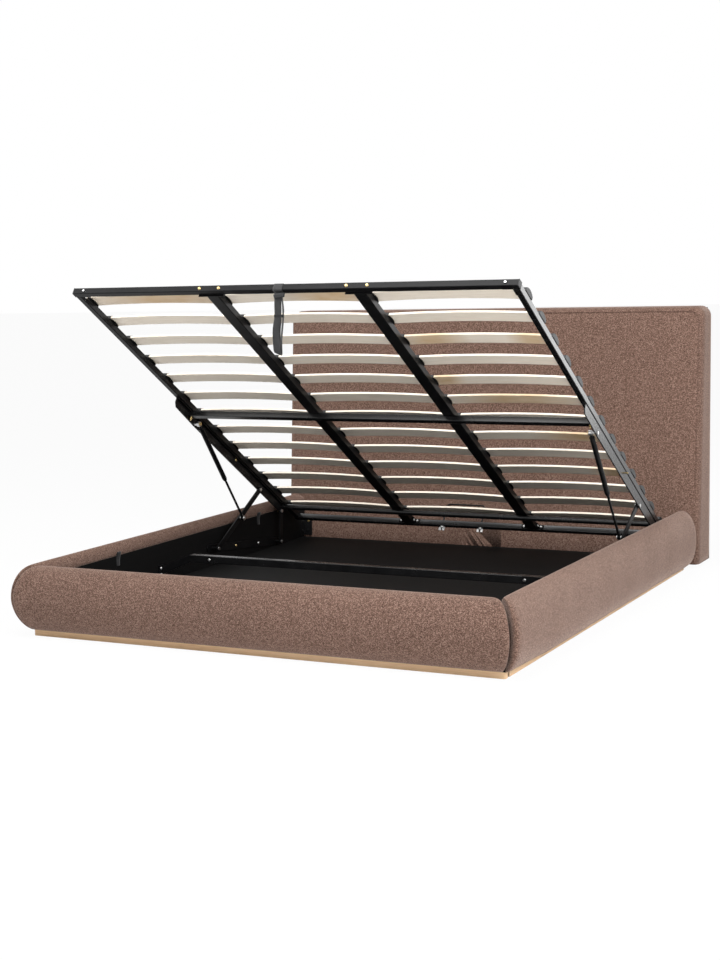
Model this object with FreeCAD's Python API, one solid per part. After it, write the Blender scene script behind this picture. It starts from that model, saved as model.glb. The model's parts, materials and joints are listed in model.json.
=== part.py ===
import FreeCAD, Part
import math
import os

# A storage bed for a 180 x 200 cm mattress, with its slatted lid raised on a gas lift.
# Millimetres. +X is the sleeper's left-to-right seen from the foot, +Y runs from foot to head, +Z is up.
# The origin is on the floor, in the middle of the bed's outline.

# Mattress and the room around it
mattress_width = 1800.0
mattress_length = 2000.0
side_room = 10.0
end_room = 11.0

# Rails: black boards on an oak plinth, each with a padded bolster outside
board_thickness = 25.0
board_top = 214.0
plinth_height = 22.0
plinth_depth = 22.0
plinth_end_radius = 8.0
plinth_corner_gap = 14.0
corner_block_length = 40.0
corner_block_recess = 4.0
bolster_bulge = 68.0
bolster_widest_height = 142.0
bolster_top = 259.0
bolster_crest_inset = 6.0
bolster_inner_edge = 222.0
bolster_shoulder = 120.0
bolster_head_shoulder = 90.0
seam_bulge = 42.0
seam_top = 251.0
head_end_bulge = 8.0
head_end_top = 236.0
# Each row: distance from the headboard, swell of the profile
head_shoulder_shares = ((1.0, 1.0), (0.45, 0.86), (0.12, 0.5), (0.0, 0.0))
soft_gap = 0.3
# Points on the profile's arcs, as shares of their width and height
lower_arc_shares = (0.66, 0.41)
inner_arc_shares = (0.735, 0.56)
upper_arc_shares = ((0.924, 0.383), (0.707, 0.707), (0.383, 0.924))
quarter_arc_share = 0.707
# Each row: distance from the mitre, turn of the section towards the mitre, swell of the profile
shoulder_shares = ((0.0, 1.0, 0.0), (0.06, 1.0, 0.6), (0.2, 0.9, 0.9), (0.5, 0.5, 1.0), (1.0, 0.0, 1.0))

# Headboard
headboard_overhang = 53.0
headboard_height = 1116.0
headboard_foot_depth = 184.0
headboard_top_depth = 118.0
headboard_lean = 33.0
headboard_foot_height = 24.0
headboard_corner_radius = 32.0
headboard_edge_inset = 12.0
headboard_edge_depth = 20.0
headboard_crown = 5.0
headboard_crown_inset = 110.0
headboard_pad_front = 45.0
headboard_pad_side = 14.0
headboard_wall = 16.0
headboard_bays = 4
headboard_back_thickness = 4.0
headboard_back_inset = 8.0
headboard_foot_length = 90.0
headboard_foot_width = 60.0
headboard_foot_spacing = 780.0

# Storage floor
floor_top = 54.0
floor_thickness = 10.0
floor_play = 1.0
batten_section = 18.0
joist_width = 40.0
joist_glide_height = 3.0
joist_glide_length = 50.0
joist_glide_shares = (0.05, 0.5, 0.95)

# Cross rail in the storage space
cross_rail_from_foot = 820.0
cross_rail_top = 172.0
cross_rail_height = 30.0
cross_rail_depth = 30.0
cross_rail_end_room = 135.0
cross_wall = 2.0
cross_bracket_thickness = 5.0
cross_bracket_overlap = 105.0
cross_bracket_drop = 58.0
cross_bracket_flange = 36.0
cross_bracket_flange_height = 52.0
cross_bolt_share = 0.55
cross_bolt_inset = 93.0

# Brackets that join the boards and the headboard
bracket_thickness = 5.0
corner_bracket_leg = 60.0
corner_bracket_low = 80.0
corner_bracket_high = 185.0
head_bracket_leg = 42.0
head_bracket_low = 62.0
head_bracket_high = 150.0
bracket_bolt_shares = (0.25, 0.75)

# Webbing loops on the side boards
loop_width = 20.0
loop_thickness = 3.0
loop_height = 58.0
loop_above_board = 18.0
loop_from_foot_shares = (0.243, 0.789)

# Bolts, rivets and washers
bolt_head_radius = 6.5
bolt_head_height = 3.6
bolt_head_crown_share = 0.65
bolt_radius = 3.0
bolt_length = 19.0
hole_clearance = 0.05
overrun = 5.0

# Lid frame, in the lid's own plane: along from the front edge, up from the underside of its rails
lid_side_margin = 12.0
lid_end_margin = 5.0
lid_tube_height = 25.0
lid_rail_width = 23.0
lid_bar_depth = 25.0
lid_beam_width = 48.0
tube_wall = 1.6
tube_corner_radius = 2.5
mid_bar_from_rear = 1064.0
hinge_bar_from_rear = 172.0
hinge_bar_radius = 12.5
end_plug_thickness = 3.0
clip_leg = 26.0
clip_thickness = 4.0
clip_height = 20.0
corner_clip_leg = 40.0
front_plate_width = 104.0
front_plate_thickness = 3.0
front_plate_drop = 6.0
front_bolt_spacing = 80.0
front_bolt_length = 36.0
arm_bolt_from_rear = 644.0
arm_bolt_drop = 12.0
mid_bolt_inset = 8.0
mid_bolt_tail = 15.0
mid_nut_height = 6.0
lid_angle = 33.5

# Sprung slats and their holders
slat_rows = 13
slat_first_along = 102.0
slat_last_from_rear = 107.0
slat_width = 57.0
slat_thickness = 8.0
slat_bow = 8.0
slat_seat = 28.0
slat_grip = 13.0
slat_play = 0.4
holder_top = 46.0
holder_length = 64.0
holder_slot_extra = 2.0
holder_crown_share = 0.55
holder_overhang = 2.0
holder_lip = 8.0

# Gas lift, one on each side: pivots on the lid (from its rear edge, below its rails)
# and on the base (from the headboard's foot, above the floor)
arm_start_from_rear = 1187.0
arm_end_from_rear = 148.0
arm_depth = 42.0
arm_nose_depth = 37.0
arm_front_depth = 20.0
arm_taper = 14.0
arm_lug_radius = 8.5
arm_thickness = 5.0
arm_flange = 15.0
lid_pivot_from_rear = 178.0
lid_pivot_drop = 37.0
stay_pivot_from_rear = 400.0
stay_pivot_drop = 37.0
strut_pivot_from_rear = 1017.0
strut_pivot_drop = 32.0
rear_pivot_from_head = 282.0
rear_pivot_height = 76.0
front_pivot_from_head = 828.0
front_pivot_height = 131.5
rear_link_length = 140.4
rear_link_angle = 86.1
strut_on_link_share = 0.511
strip_thickness = 5.0
strip_radius = 16.0
strip_front_reach = 24.0
strip_rear_reach = 24.0
strip_bolt_shares = (0.364, 0.72)
link_thickness = 6.0
link_radius = 12.0
link_to_arm = 2.0
pin_radius = 5.0
pin_shoulder_radius = 7.0
pin_head_radius = 7.5
pin_head = 4.0
pin_side_play = 0.3
open_pivot_gap = 0.5
arm_from_edge = 3.0

# Gas strut
strut_radius = 10.0
strut_rod_radius = 5.0
strut_eye_radius = 11.0
strut_eye_thickness = 12.0
strut_pin_radius = 5.0
strut_to_link = 7.0
strut_cylinder_length = 290.0
strut_neck_length = 24.0
strut_neck_radius = 6.2
strut_collar_length = 10.0
strut_collar_radius = 8.0
strut_rod_inside = 45.0
strut_bore_spare = 165.0

# Mattress retainer: a wire hoop on the rear bar
retainer_offset = -45.0
retainer_width = 184.0
retainer_height = 84.0
retainer_wire_radius = 3.5
retainer_bend_radius = 16.0
retainer_thread = 16.0
nut_radius = 8.0
nut_height = 8.0
wing_length = 6.0
wing_thickness = 4.0
wing_height = 20.0
wing_root_share = 0.5

# Pull strap on the front bar
strap_offset = -12.0
strap_width = 28.0
strap_thickness = 2.0
strap_gap = 0.3
strap_hang = 222.0
strap_neck = 86.0
strap_loop_width = 22.0
slider_width = 35.0
slider_height = 10.0
slider_wall = 3.0

# Places worked out from the sizes above
inner_half = mattress_width / 2 + side_room
board_half = inner_half + board_thickness
inner_length = mattress_length + end_room
back_slope = headboard_lean / headboard_height
back_panel_reach = back_slope * (headboard_height - headboard_back_inset)
overall_length = bolster_bulge + board_thickness + inner_length + headboard_foot_depth + back_panel_reach
foot_outer = -overall_length / 2 + bolster_bulge
foot_inner = foot_outer + board_thickness
head_front = foot_inner + inner_length
head_back = head_front + headboard_foot_depth
head_half = board_half + headboard_overhang
front_slope = (headboard_lean + headboard_foot_depth - headboard_top_depth) / headboard_height
floor_under = floor_top - floor_thickness
lid_half = mattress_width / 2 - lid_side_margin
lid_length = mattress_length - 2 * lid_end_margin
lid_pivot_along = lid_length - lid_pivot_from_rear
stay_pivot_along = lid_length - stay_pivot_from_rear
strut_pivot_along = lid_length - strut_pivot_from_rear
rail_inner = lid_half - lid_rail_width
beam_centre = (2 * rail_inner + lid_beam_width) / 6
slat_pitch = (lid_length - slat_first_along - slat_last_from_rear) / (slat_rows - 1)
arm_outer = lid_half - arm_from_edge
arm_inner = arm_outer - arm_thickness
link_outer = arm_inner - link_to_arm
link_inner = link_outer - link_thickness
strut_outer = link_inner - strut_to_link
strut_inner = strut_outer - strut_eye_thickness
strut_axis = (strut_outer + strut_inner) / 2
strip_inner = inner_half - strip_thickness

parts = {}


def vec(x, y, z):
    return FreeCAD.Vector(x, y, z)


ORIGIN = vec(0, 0, 0)
AXIS_X = vec(1, 0, 0)
AXIS_Y = vec(0, 1, 0)
AXIS_Z = vec(0, 0, 1)


def box(x0, x1, y0, y1, z0, z1):
    return Part.makeBox(x1 - x0, y1 - y0, z1 - z0, vec(x0, y0, z0))


def polygon_prism(points, along):
    return Part.Face(Part.makePolygon(points + points[:1])).extrude(along)


def prism_x(outline, x0, x1):
    return polygon_prism([vec(x0, y, z) for y, z in outline], vec(x1 - x0, 0, 0))


def prism_y(outline, y0, y1):
    return polygon_prism([vec(x, y0, z) for x, z in outline], vec(0, y1 - y0, 0))


def prism_z(outline, z0, z1):
    return polygon_prism([vec(x, y, z0) for x, y in outline], vec(0, 0, z1 - z0))


def fused(shapes):
    return shapes[0].multiFuse(shapes[1:]).removeSplitter()


def mirrored(shape):
    return shape.mirror(ORIGIN, AXIS_X)


def group(solids):
    return Part.makeCompound(solids)


def cylinder_x(x0, x1, y, z, radius):
    return Part.makeCylinder(radius, abs(x1 - x0), vec(min(x0, x1), y, z), AXIS_X)


def stack_x(y, z, spans):
    """A turned piece along X: each span is its two ends and its radius."""
    return fused([cylinder_x(x0, x1, y, z, radius) for x0, x1, radius in spans])


def stadium(start, end, radius, x0, x1):
    """A flat bar with round ends between two points (y, z), as thick as x0 to x1."""
    run = math.hypot(end[0] - start[0], end[1] - start[1])
    side = (-(end[1] - start[1]) / run * radius, (end[0] - start[0]) / run * radius)
    web = prism_x([(start[0] + side[0], start[1] + side[1]), (end[0] + side[0], end[1] + side[1]),
                   (end[0] - side[0], end[1] - side[1]), (start[0] - side[0], start[1] - side[1])], x0, x1)
    ends = [cylinder_x(x0, x1, point[0], point[1], radius) for point in (start, end)]
    return fused([web] + ends)


def between(start, end, share):
    return tuple(a + (b - a) * share for a, b in zip(start, end))


def bolt(seat, out, length=bolt_length):
    """A button-head bolt: seat is where its head bears, out points away from what it holds."""
    crown = bolt_head_radius * bolt_head_crown_share
    head = Part.makeCone(bolt_head_radius, crown, bolt_head_height, seat, out)
    shank = Part.makeCylinder(bolt_radius, length, seat, out * -1)
    return fused([head, shank])


def drilled(shape, places, length=bolt_length):
    """The shape with a hole for each bolt in places, each a (seat, out) pair."""
    holes = []
    for seat, out in places:
        start = seat + out * overrun
        holes.append(Part.makeCylinder(bolt_radius + hole_clearance, length + 2 * overrun, start, out * -1))
    return shape.cut(group(holes))


def across(places):
    """The same bolts on both sides of the bed."""
    return places + [(vec(-seat.x, seat.y, seat.z), vec(-out.x, out.y, out.z)) for seat, out in places]


def tube(x0, x1, y0, y1, z0, z1, wall, axis):
    """A rectangular tube, open at both ends along the given axis (0, 1 or 2)."""
    low, high = [x0, y0, z0], [x1, y1, z1]
    for i in range(3):
        shift = -overrun if i == axis else wall
        low[i] += shift
        high[i] -= shift
    hollow = box(low[0], high[0], low[1], high[1], low[2], high[2])
    outer = box(x0, x1, y0, y1, z0, z1)
    length = (x1 - x0, y1 - y0, z1 - z0)[axis]
    long_edges = [edge for edge in outer.Edges
                  if (edge.BoundBox.XLength, edge.BoundBox.YLength, edge.BoundBox.ZLength)[axis] > length / 2]
    return outer.makeFillet(tube_corner_radius, long_edges).cut(hollow)


# Headboard: a wedge-shaped wooden case, a padded cover round it and a thin back panel, on low feet
def head_front_at(z):
    return head_front + front_slope * z


def head_back_at(z):
    return head_back + back_slope * z


def padded_section(half, bottom, top, radius, y_at):
    """A rounded rectangle that leans with the headboard; y_at gives its place at each height."""
    turn = radius * (1 - quarter_arc_share)

    def point(x, z):
        return vec(x, y_at(z), z)

    edges = [
        Part.LineSegment(point(-half, bottom), point(half, bottom)),
        Part.LineSegment(point(half, bottom), point(half, top - radius)),
        Part.Arc(point(half, top - radius), point(half - turn, top - turn), point(half - radius, top)),
        Part.LineSegment(point(half - radius, top), point(radius - half, top)),
        Part.Arc(point(radius - half, top), point(turn - half, top - turn), point(-half, top - radius)),
        Part.LineSegment(point(-half, top - radius), point(-half, bottom))]
    return Part.Wire([edge.toShape() for edge in edges])


def build_headboard():
    back_inner = headboard_back_thickness
    bottom, top = headboard_foot_height, headboard_height
    radius, inset = headboard_corner_radius, headboard_edge_inset
    sections = [
        padded_section(head_half, bottom, top, radius, lambda z: head_back_at(z) - back_inner),
        padded_section(head_half, bottom, top, radius, lambda z: head_front_at(z) + headboard_edge_depth),
        padded_section(head_half - inset / 3, bottom, top - inset / 3, radius,
                       lambda z: head_front_at(z) + headboard_edge_depth / 3),
        padded_section(head_half - inset, bottom, top - inset, radius, lambda z: head_front_at(z) + soft_gap),
        padded_section(head_half - headboard_crown_inset, bottom, top - headboard_crown_inset, radius,
                       lambda z: head_front_at(z) + soft_gap - headboard_crown * (z - bolster_top) / top)]
    cover = Part.makeLoft(sections, True, True)
    side, cap = head_half - headboard_pad_side, top - headboard_pad_side
    core_outline = [(head_front_at(bottom) + headboard_pad_front, bottom),
                    (head_back_at(bottom) - back_inner, bottom),
                    (head_back_at(cap) - back_inner, cap),
                    (head_front_at(cap) + headboard_pad_front, cap)]
    core = prism_x(core_outline, -side, side)
    wall, low, high = headboard_wall, bottom + headboard_wall, cap - headboard_wall
    skin = headboard_pad_front + wall
    bay_outline = [(head_front_at(low) + skin, low), (head_back_at(low) + overrun, low),
                   (head_back_at(high) + overrun, high), (head_front_at(high) + skin, high)]
    bay_pitch = (2 * side - wall) / headboard_bays
    bays = [prism_x(bay_outline, wall - side + bay * bay_pitch, (bay + 1) * bay_pitch - side)
            for bay in range(headboard_bays)]
    low, high = bottom + headboard_back_inset, top - headboard_back_inset
    panel_outline = [(head_back_at(low) - back_inner, low), (head_back_at(low), low),
                     (head_back_at(high), high), (head_back_at(high) - back_inner, high)]
    panel_half = head_half - headboard_back_inset
    foot_centre = (head_front_at(bottom) + headboard_pad_front + head_back_at(bottom)) / 2
    foot_half, foot_side = headboard_foot_length / 2, headboard_foot_width / 2
    feet = [box(x - foot_half, x + foot_half, foot_centre - foot_side, foot_centre + foot_side, 0, bottom)
            for x in (-headboard_foot_spacing, 0, headboard_foot_spacing)]
    parts["headboard_case"] = core.cut(group(bays))
    parts["headboard_cover"] = cover.cut(core)
    parts["headboard_back_panel"] = prism_x(panel_outline, -panel_half, panel_half)
    parts["headboard_feet"] = group(feet)


# Rails
def bolster_section(place, bulge, top):
    """The D-shaped profile of a bolster; place(out, z) gives the point for a distance outside the board."""
    low, wide = plinth_height + soft_gap, bolster_widest_height
    crest, inner = -bolster_crest_inset, soft_gap - board_thickness
    lower_mid = (lower_arc_shares[0] * bulge, low + lower_arc_shares[1] * (wide - low))
    upper = [(crest + x * (bulge - crest), wide + z * (top - wide)) for x, z in upper_arc_shares]
    inner_mid = (crest + inner_arc_shares[0] * (inner - crest),
                 bolster_inner_edge + inner_arc_shares[1] * (top - bolster_inner_edge))
    seat = board_top + soft_gap
    edges = [
        Part.Arc(place(soft_gap, low), place(*lower_mid), place(bulge, wide)),
        Part.Arc(place(bulge, wide), place(*upper[0]), place(*upper[1])),
        Part.Arc(place(*upper[1]), place(*upper[2]), place(crest, top)),
        Part.Arc(place(crest, top), place(*inner_mid), place(inner, bolster_inner_edge)),
        Part.LineSegment(place(inner, bolster_inner_edge), place(inner, seat)),
        Part.LineSegment(place(inner, seat), place(soft_gap, seat)),
        Part.LineSegment(place(soft_gap, seat), place(soft_gap, low))]
    return Part.Wire([edge.toShape() for edge in edges])


def shoulder_rows():
    """Distance from the mitre, turn towards it, bulge and height, from the seam to the full profile."""
    rows = []
    for inset, turn, swell in shoulder_shares:
        bulge = seam_bulge + swell * (bolster_bulge - seam_bulge)
        top = seam_top + swell * (bolster_top - seam_top)
        rows.append((inset * bolster_shoulder + soft_gap, turn, bulge, top))
    return rows


def build_foot_bolster():
    sections = []
    for inset, turn, bulge, top in shoulder_rows():
        sections.append(bolster_section(
            lambda out, z, i=inset, t=turn: vec(board_half + t * out - i, foot_outer - out, z), bulge, top))
    for inset, turn, bulge, top in reversed(shoulder_rows()):
        sections.append(bolster_section(
            lambda out, z, i=inset, t=turn: vec(i - board_half - t * out, foot_outer - out, z), bulge, top))
    return Part.makeLoft(sections, True, True)


def build_side_bolster():
    sections = []
    for inset, turn, bulge, top in shoulder_rows():
        sections.append(bolster_section(
            lambda out, z, i=inset, t=turn: vec(board_half + out, foot_outer - t * out + i, z), bulge, top))
    for share, swell in head_shoulder_shares:
        inset = share * bolster_head_shoulder + 2 * soft_gap
        bulge = head_end_bulge + swell * (bolster_bulge - head_end_bulge)
        top = head_end_top + swell * (bolster_top - head_end_top)
        sections.append(bolster_section(
            lambda out, z, i=inset: vec(board_half + out, head_front_at(z) - i, z), bulge, top))
    return Part.makeLoft(sections, True, True)


def side_board():
    low, high = plinth_height, board_top
    outline = [(foot_inner, low), (head_front_at(low) - soft_gap, low),
               (head_front_at(high) - soft_gap, high), (foot_inner, high)]
    return prism_x(outline, inner_half, board_half)


def foot_plinth():
    strip = box(-board_half, board_half, foot_outer, foot_outer + plinth_depth, 0, plinth_height)
    middle = foot_outer + plinth_depth / 2
    corners = [edge for edge in strip.Edges
               if edge.BoundBox.ZLength > plinth_height / 2 and edge.BoundBox.YMax < middle]
    return strip.makeFillet(plinth_end_radius, corners)


def side_plinth():
    start = foot_outer + plinth_depth + plinth_corner_gap
    return box(board_half - plinth_depth, board_half, start, head_front - soft_gap, 0, plinth_height)


def corner_block():
    start = foot_outer + plinth_depth
    inside = board_half - plinth_depth
    body = box(inside - corner_block_length, inside, start, start + corner_block_length,
               0, min(plinth_height, floor_under - batten_section))
    nose = box(inside, board_half - corner_block_recess, start, start + plinth_corner_gap, 0, plinth_height)
    return fused([body, nose])


def corner_bracket():
    leg, thick = corner_bracket_leg, bracket_thickness
    outline = [(inner_half - leg, foot_inner), (inner_half, foot_inner), (inner_half, foot_inner + leg),
               (inner_half - thick, foot_inner + leg), (inner_half - thick, foot_inner + thick),
               (inner_half - leg, foot_inner + thick)]
    return prism_z(outline, corner_bracket_low, corner_bracket_high)


def corner_bracket_bolts():
    places = []
    for share in bracket_bolt_shares:
        z = corner_bracket_low + share * (corner_bracket_high - corner_bracket_low)
        middle = corner_bracket_leg * (1 + bracket_thickness / corner_bracket_leg) / 2
        places.append((vec(inner_half - middle, foot_inner + bracket_thickness, z), AXIS_Y))
        places.append((vec(inner_half - bracket_thickness, foot_inner + middle, z), AXIS_X * -1))
    return places


def head_bracket():
    low, high, thick = head_bracket_low, head_bracket_high, bracket_thickness

    def leaf(near, far):
        return [(head_front_at(low) - near, low), (head_front_at(low) - far, low),
                (head_front_at(high) - far, high), (head_front_at(high) - near, high)]

    on_board = prism_x(leaf(head_bracket_leg, soft_gap), inner_half - thick, inner_half)
    on_headboard = prism_x(leaf(thick + soft_gap, soft_gap), inner_half - head_bracket_leg, inner_half)
    return fused([on_board, on_headboard])


def head_bracket_bolts():
    out = vec(0, -1, front_slope).normalize()
    places = []
    for share in bracket_bolt_shares:
        z = head_bracket_low + share * (head_bracket_high - head_bracket_low)
        front = head_front_at(z) - soft_gap - bracket_thickness
        middle = (head_bracket_leg + bracket_thickness) / 2
        places.append((vec(inner_half - middle, front, z), out))
        places.append((vec(inner_half - bracket_thickness, head_front_at(z) - middle, z), AXIS_X * -1))
    return places


# Gas lift pivots in the bed's frame, as (y, z); the rear link sets where the open lid stands
rear_base_pivot = (head_front - rear_pivot_from_head, rear_pivot_height)
front_base_pivot = (head_front - front_pivot_from_head, front_pivot_height)
lid_pivot = (rear_base_pivot[0] + rear_link_length * math.cos(math.radians(rear_link_angle)),
             rear_base_pivot[1] + rear_link_length * math.sin(math.radians(rear_link_angle)))


def lid_point(along, up):
    turn = math.radians(lid_angle)
    ahead, rise = along - lid_pivot_along, up + lid_pivot_drop
    return (lid_pivot[0] + ahead * math.cos(turn) + rise * math.sin(turn),
            lid_pivot[1] - ahead * math.sin(turn) + rise * math.cos(turn))


stay_pivot = lid_point(stay_pivot_along, -stay_pivot_drop)
strut_pivot = lid_point(strut_pivot_along, -strut_pivot_drop)
strut_foot = between(front_base_pivot, stay_pivot, strut_on_link_share)


def strip_ends():
    run = math.hypot(rear_base_pivot[0] - front_base_pivot[0], rear_base_pivot[1] - front_base_pivot[1])
    return (between(front_base_pivot, rear_base_pivot, -strip_front_reach / run),
            between(front_base_pivot, rear_base_pivot, 1 + strip_rear_reach / run))


def lift_strip():
    start, end = strip_ends()
    strip = stadium(start, end, strip_radius, strip_inner, inner_half)
    holes = [cylinder_x(strip_inner - overrun, inner_half + overrun, y, z, pin_radius + hole_clearance)
             for y, z in (rear_base_pivot, front_base_pivot)]
    return strip.cut(group(holes))


def lift_strip_bolts():
    places = []
    for share in strip_bolt_shares:
        y, z = between(front_base_pivot, rear_base_pivot, share)
        places.append((vec(strip_inner, y, z), AXIS_X * -1))
    return places


def base_pin(point):
    """A shoulder pin from the lift strip inwards, through the link that turns on it."""
    return stack_x(point[0], point[1], (
        (inner_half, strip_inner, pin_radius),
        (strip_inner, link_outer + pin_side_play, pin_shoulder_radius),
        (link_outer + pin_side_play, link_inner - pin_side_play, pin_radius),
        (link_inner - pin_side_play, link_inner - pin_side_play - pin_head, pin_head_radius)))


# Storage floor, its supports and the cross rail
def build_storage():
    split = foot_inner + cross_rail_from_foot
    edge = inner_half - floor_play
    rear_edge = head_front_at(floor_under) - floor_play
    joist_half = joist_width / 2
    joist_start, joist_end = foot_inner + floor_play, rear_edge
    side_batten = box(inner_half - batten_section, inner_half,
                      foot_inner + batten_section, head_front - floor_play,
                      floor_under - batten_section, floor_under)
    end_batten = box(joist_half + floor_play, inner_half, foot_inner, foot_inner + batten_section,
                     floor_under - batten_section, floor_under)
    glides = []
    for share in joist_glide_shares:
        y = joist_start + share * (joist_end - joist_start)
        glides.append(box(-joist_half, joist_half, y - joist_glide_length / 2, y + joist_glide_length / 2,
                          0, joist_glide_height))
    parts["storage_floor_front"] = box(-edge, edge, foot_inner + floor_play, split - floor_play / 2,
                                       floor_under, floor_top)
    parts["storage_floor_rear"] = box(-edge, edge, split + floor_play / 2, rear_edge, floor_under, floor_top)
    parts["floor_battens"] = group([side_batten, mirrored(side_batten), end_batten, mirrored(end_batten)])
    parts["floor_joist"] = box(-joist_half, joist_half, joist_start, joist_end,
                               joist_glide_height, floor_under)
    parts["joist_glides"] = group(glides)


def build_cross_rail():
    middle = foot_inner + cross_rail_from_foot
    front, back = middle - cross_rail_depth / 2, middle + cross_rail_depth / 2
    half, low = inner_half - cross_rail_end_room, cross_rail_top - cross_rail_height
    rail = tube(-half, half, front, back, low, cross_rail_top, cross_wall, 0)
    plate_front = front - cross_bracket_thickness
    inside = half - cross_bracket_overlap
    web = prism_y([(inside, low), (half, low), (inner_half, low - cross_bracket_drop),
                   (inner_half, cross_rail_top - cross_bracket_drop), (half, cross_rail_top),
                   (inside, cross_rail_top)], plate_front, front)
    flange_middle = (low + cross_rail_top) / 2 - cross_bracket_drop
    flange_low = flange_middle - cross_bracket_flange_height / 2
    flange_high = flange_middle + cross_bracket_flange_height / 2
    flange = box(inner_half - cross_bracket_thickness, inner_half, front - cross_bracket_flange, front,
                 flange_low, flange_high)
    bracket = fused([web, flange])
    bolt_y = front - cross_bracket_flange * cross_bolt_share
    bolt_x = half - cross_bolt_inset
    places = [(vec(bolt_x, plate_front, (low + cross_rail_top) / 2), AXIS_Y * -1)]
    for share in bracket_bolt_shares:
        z = flange_low + share * (flange_high - flange_low)
        places.append((vec(inner_half - cross_bracket_thickness, bolt_y, z), AXIS_X * -1))
    places = across(places)
    parts["cross_rail"] = drilled(rail, places)
    parts["cross_rail_brackets"] = drilled(group([bracket, mirrored(bracket)]), places)
    return places


def webbing_loop(from_foot_share):
    """A folded webbing tab, sewn flat to the side board and standing a little over its top."""
    start = foot_inner + from_foot_share * inner_length - loop_width / 2
    top = board_top + loop_above_board
    tab = box(inner_half - loop_thickness, inner_half, start, start + loop_width, top - loop_height, top)
    upright = [edge for edge in tab.Edges if edge.BoundBox.XLength > loop_thickness / 2
               and edge.BoundBox.ZMin > top - loop_thickness]
    return tab.makeFillet(loop_width / 3, upright)


def build_base():
    build_headboard()
    build_storage()
    cross_places = build_cross_rail()
    frame_places = across(corner_bracket_bolts() + head_bracket_bolts())
    lift_places = across(lift_strip_bolts())
    places = frame_places + lift_places + cross_places

    right_board = drilled(side_board(), places)
    parts["right_rail_board"] = right_board
    parts["left_rail_board"] = mirrored(right_board)
    parts["foot_rail_board"] = drilled(
        box(-board_half, board_half, foot_outer, foot_inner, plinth_height, board_top), frame_places)
    side_bolster = build_side_bolster()
    parts["right_rail_bolster"] = side_bolster
    parts["left_rail_bolster"] = mirrored(side_bolster)
    parts["foot_rail_bolster"] = build_foot_bolster()
    parts["foot_plinth"] = foot_plinth()
    parts["right_plinth"] = side_plinth()
    parts["left_plinth"] = mirrored(side_plinth())
    parts["plinth_corner_blocks"] = group([corner_block(), mirrored(corner_block())])
    bracket = drilled(corner_bracket(), frame_places)
    parts["corner_brackets"] = group([bracket, mirrored(bracket)])
    bracket = drilled(head_bracket(), frame_places)
    parts["headboard_brackets"] = group([bracket, mirrored(bracket)])
    parts["frame_bolts"] = group([bolt(seat, out) for seat, out in places])
    parts["headboard_cover"] = drilled(parts["headboard_cover"], frame_places)

    strip = drilled(lift_strip(), lift_places)
    parts["right_lift_strip"] = strip
    parts["left_lift_strip"] = mirrored(strip)
    pins = [base_pin(rear_base_pivot), base_pin(front_base_pivot)]
    parts["lift_base_pins"] = group(pins + [mirrored(pin) for pin in pins])
    loops = [webbing_loop(share) for share in loop_from_foot_shares]
    parts["rail_loops"] = group(loops + [mirrored(loop) for loop in loops])


# The lid is drawn flat in its own plane, then raised to its open place
def raised(shape):
    moved = shape.copy()
    moved.rotate(ORIGIN, AXIS_X, -lid_angle)
    moved.translate(vec(0, *lid_point(0, 0)))
    return moved


def slat(x0, x1, along):
    """One bowed slat: an arc of plywood between two holders."""
    middle, chord = (x0 + x1) / 2, x1 - x0
    low, high = slat_seat, slat_seat + slat_thickness

    def arc(z):
        return Part.Arc(vec(x0, along, z), vec(middle, along, z + slat_bow), vec(x1, along, z)).toShape()

    ends = [Part.LineSegment(vec(x, along, low), vec(x, along, high)).toShape() for x in (x0, x1)]
    wire = Part.Wire(Part.__sortEdges__([arc(low), ends[1], arc(high), ends[0]]))
    return Part.Face(wire).extrude(vec(0, slat_width, 0)).translated(vec(0, -slat_width / 2, 0))


def holder(x0, x1, along, open_low, open_high):
    """A plastic slat holder: a crowned cap with a round lip and a slot on each side that takes a slat."""
    base, top = lid_tube_height, holder_top
    start, end = along - holder_length / 2, along + holder_length / 2
    edge = base + (top - base) * holder_crown_share
    low_lip = x0 - holder_lip
    profile = Part.Wire([
        Part.LineSegment(vec(low_lip, start, base), vec(low_lip, end, base)).toShape(),
        Part.LineSegment(vec(low_lip, end, base), vec(low_lip, end, edge)).toShape(),
        Part.Arc(vec(low_lip, end, edge), vec(low_lip, along, top), vec(low_lip, start, edge)).toShape(),
        Part.LineSegment(vec(low_lip, start, edge), vec(low_lip, start, base)).toShape()])
    crown = Part.Face(profile).extrude(vec(x1 - x0 + 2 * holder_lip, 0, 0))

    def side(x, lip, is_open):
        """One side of the holder seen from above: a straight edge, or the arc of a lip."""
        ends = vec(x, start, base), vec(x, end, base)
        if is_open:
            return Part.Arc(ends[0], vec(x + lip, along, base), ends[1]).toShape()
        return Part.LineSegment(*ends).toShape()

    outline = [side(x0, -holder_lip, open_low), side(x1, holder_lip, open_high)]
    outline += [Part.LineSegment(vec(x0, y, base), vec(x1, y, base)).toShape() for y in (start, end)]
    plan = Part.Face(Part.Wire(Part.__sortEdges__(outline))).extrude(vec(0, 0, top - base))
    cap = crown.common(plan)
    slot_start, slot_end = along - slat_width / 2 - slat_play, along + slat_width / 2 + slat_play
    slot_low, slot_high = slat_seat - slat_play, slat_seat + slat_thickness + holder_slot_extra
    depth, reach = slat_grip + slat_play, holder_lip + overrun
    if open_low:
        cap = cap.cut(box(x0 - reach, x0 + depth, slot_start, slot_end, slot_low, slot_high))
    if open_high:
        cap = cap.cut(box(x1 - depth, x1 + reach, slot_start, slot_end, slot_low, slot_high))
    return cap


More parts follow.
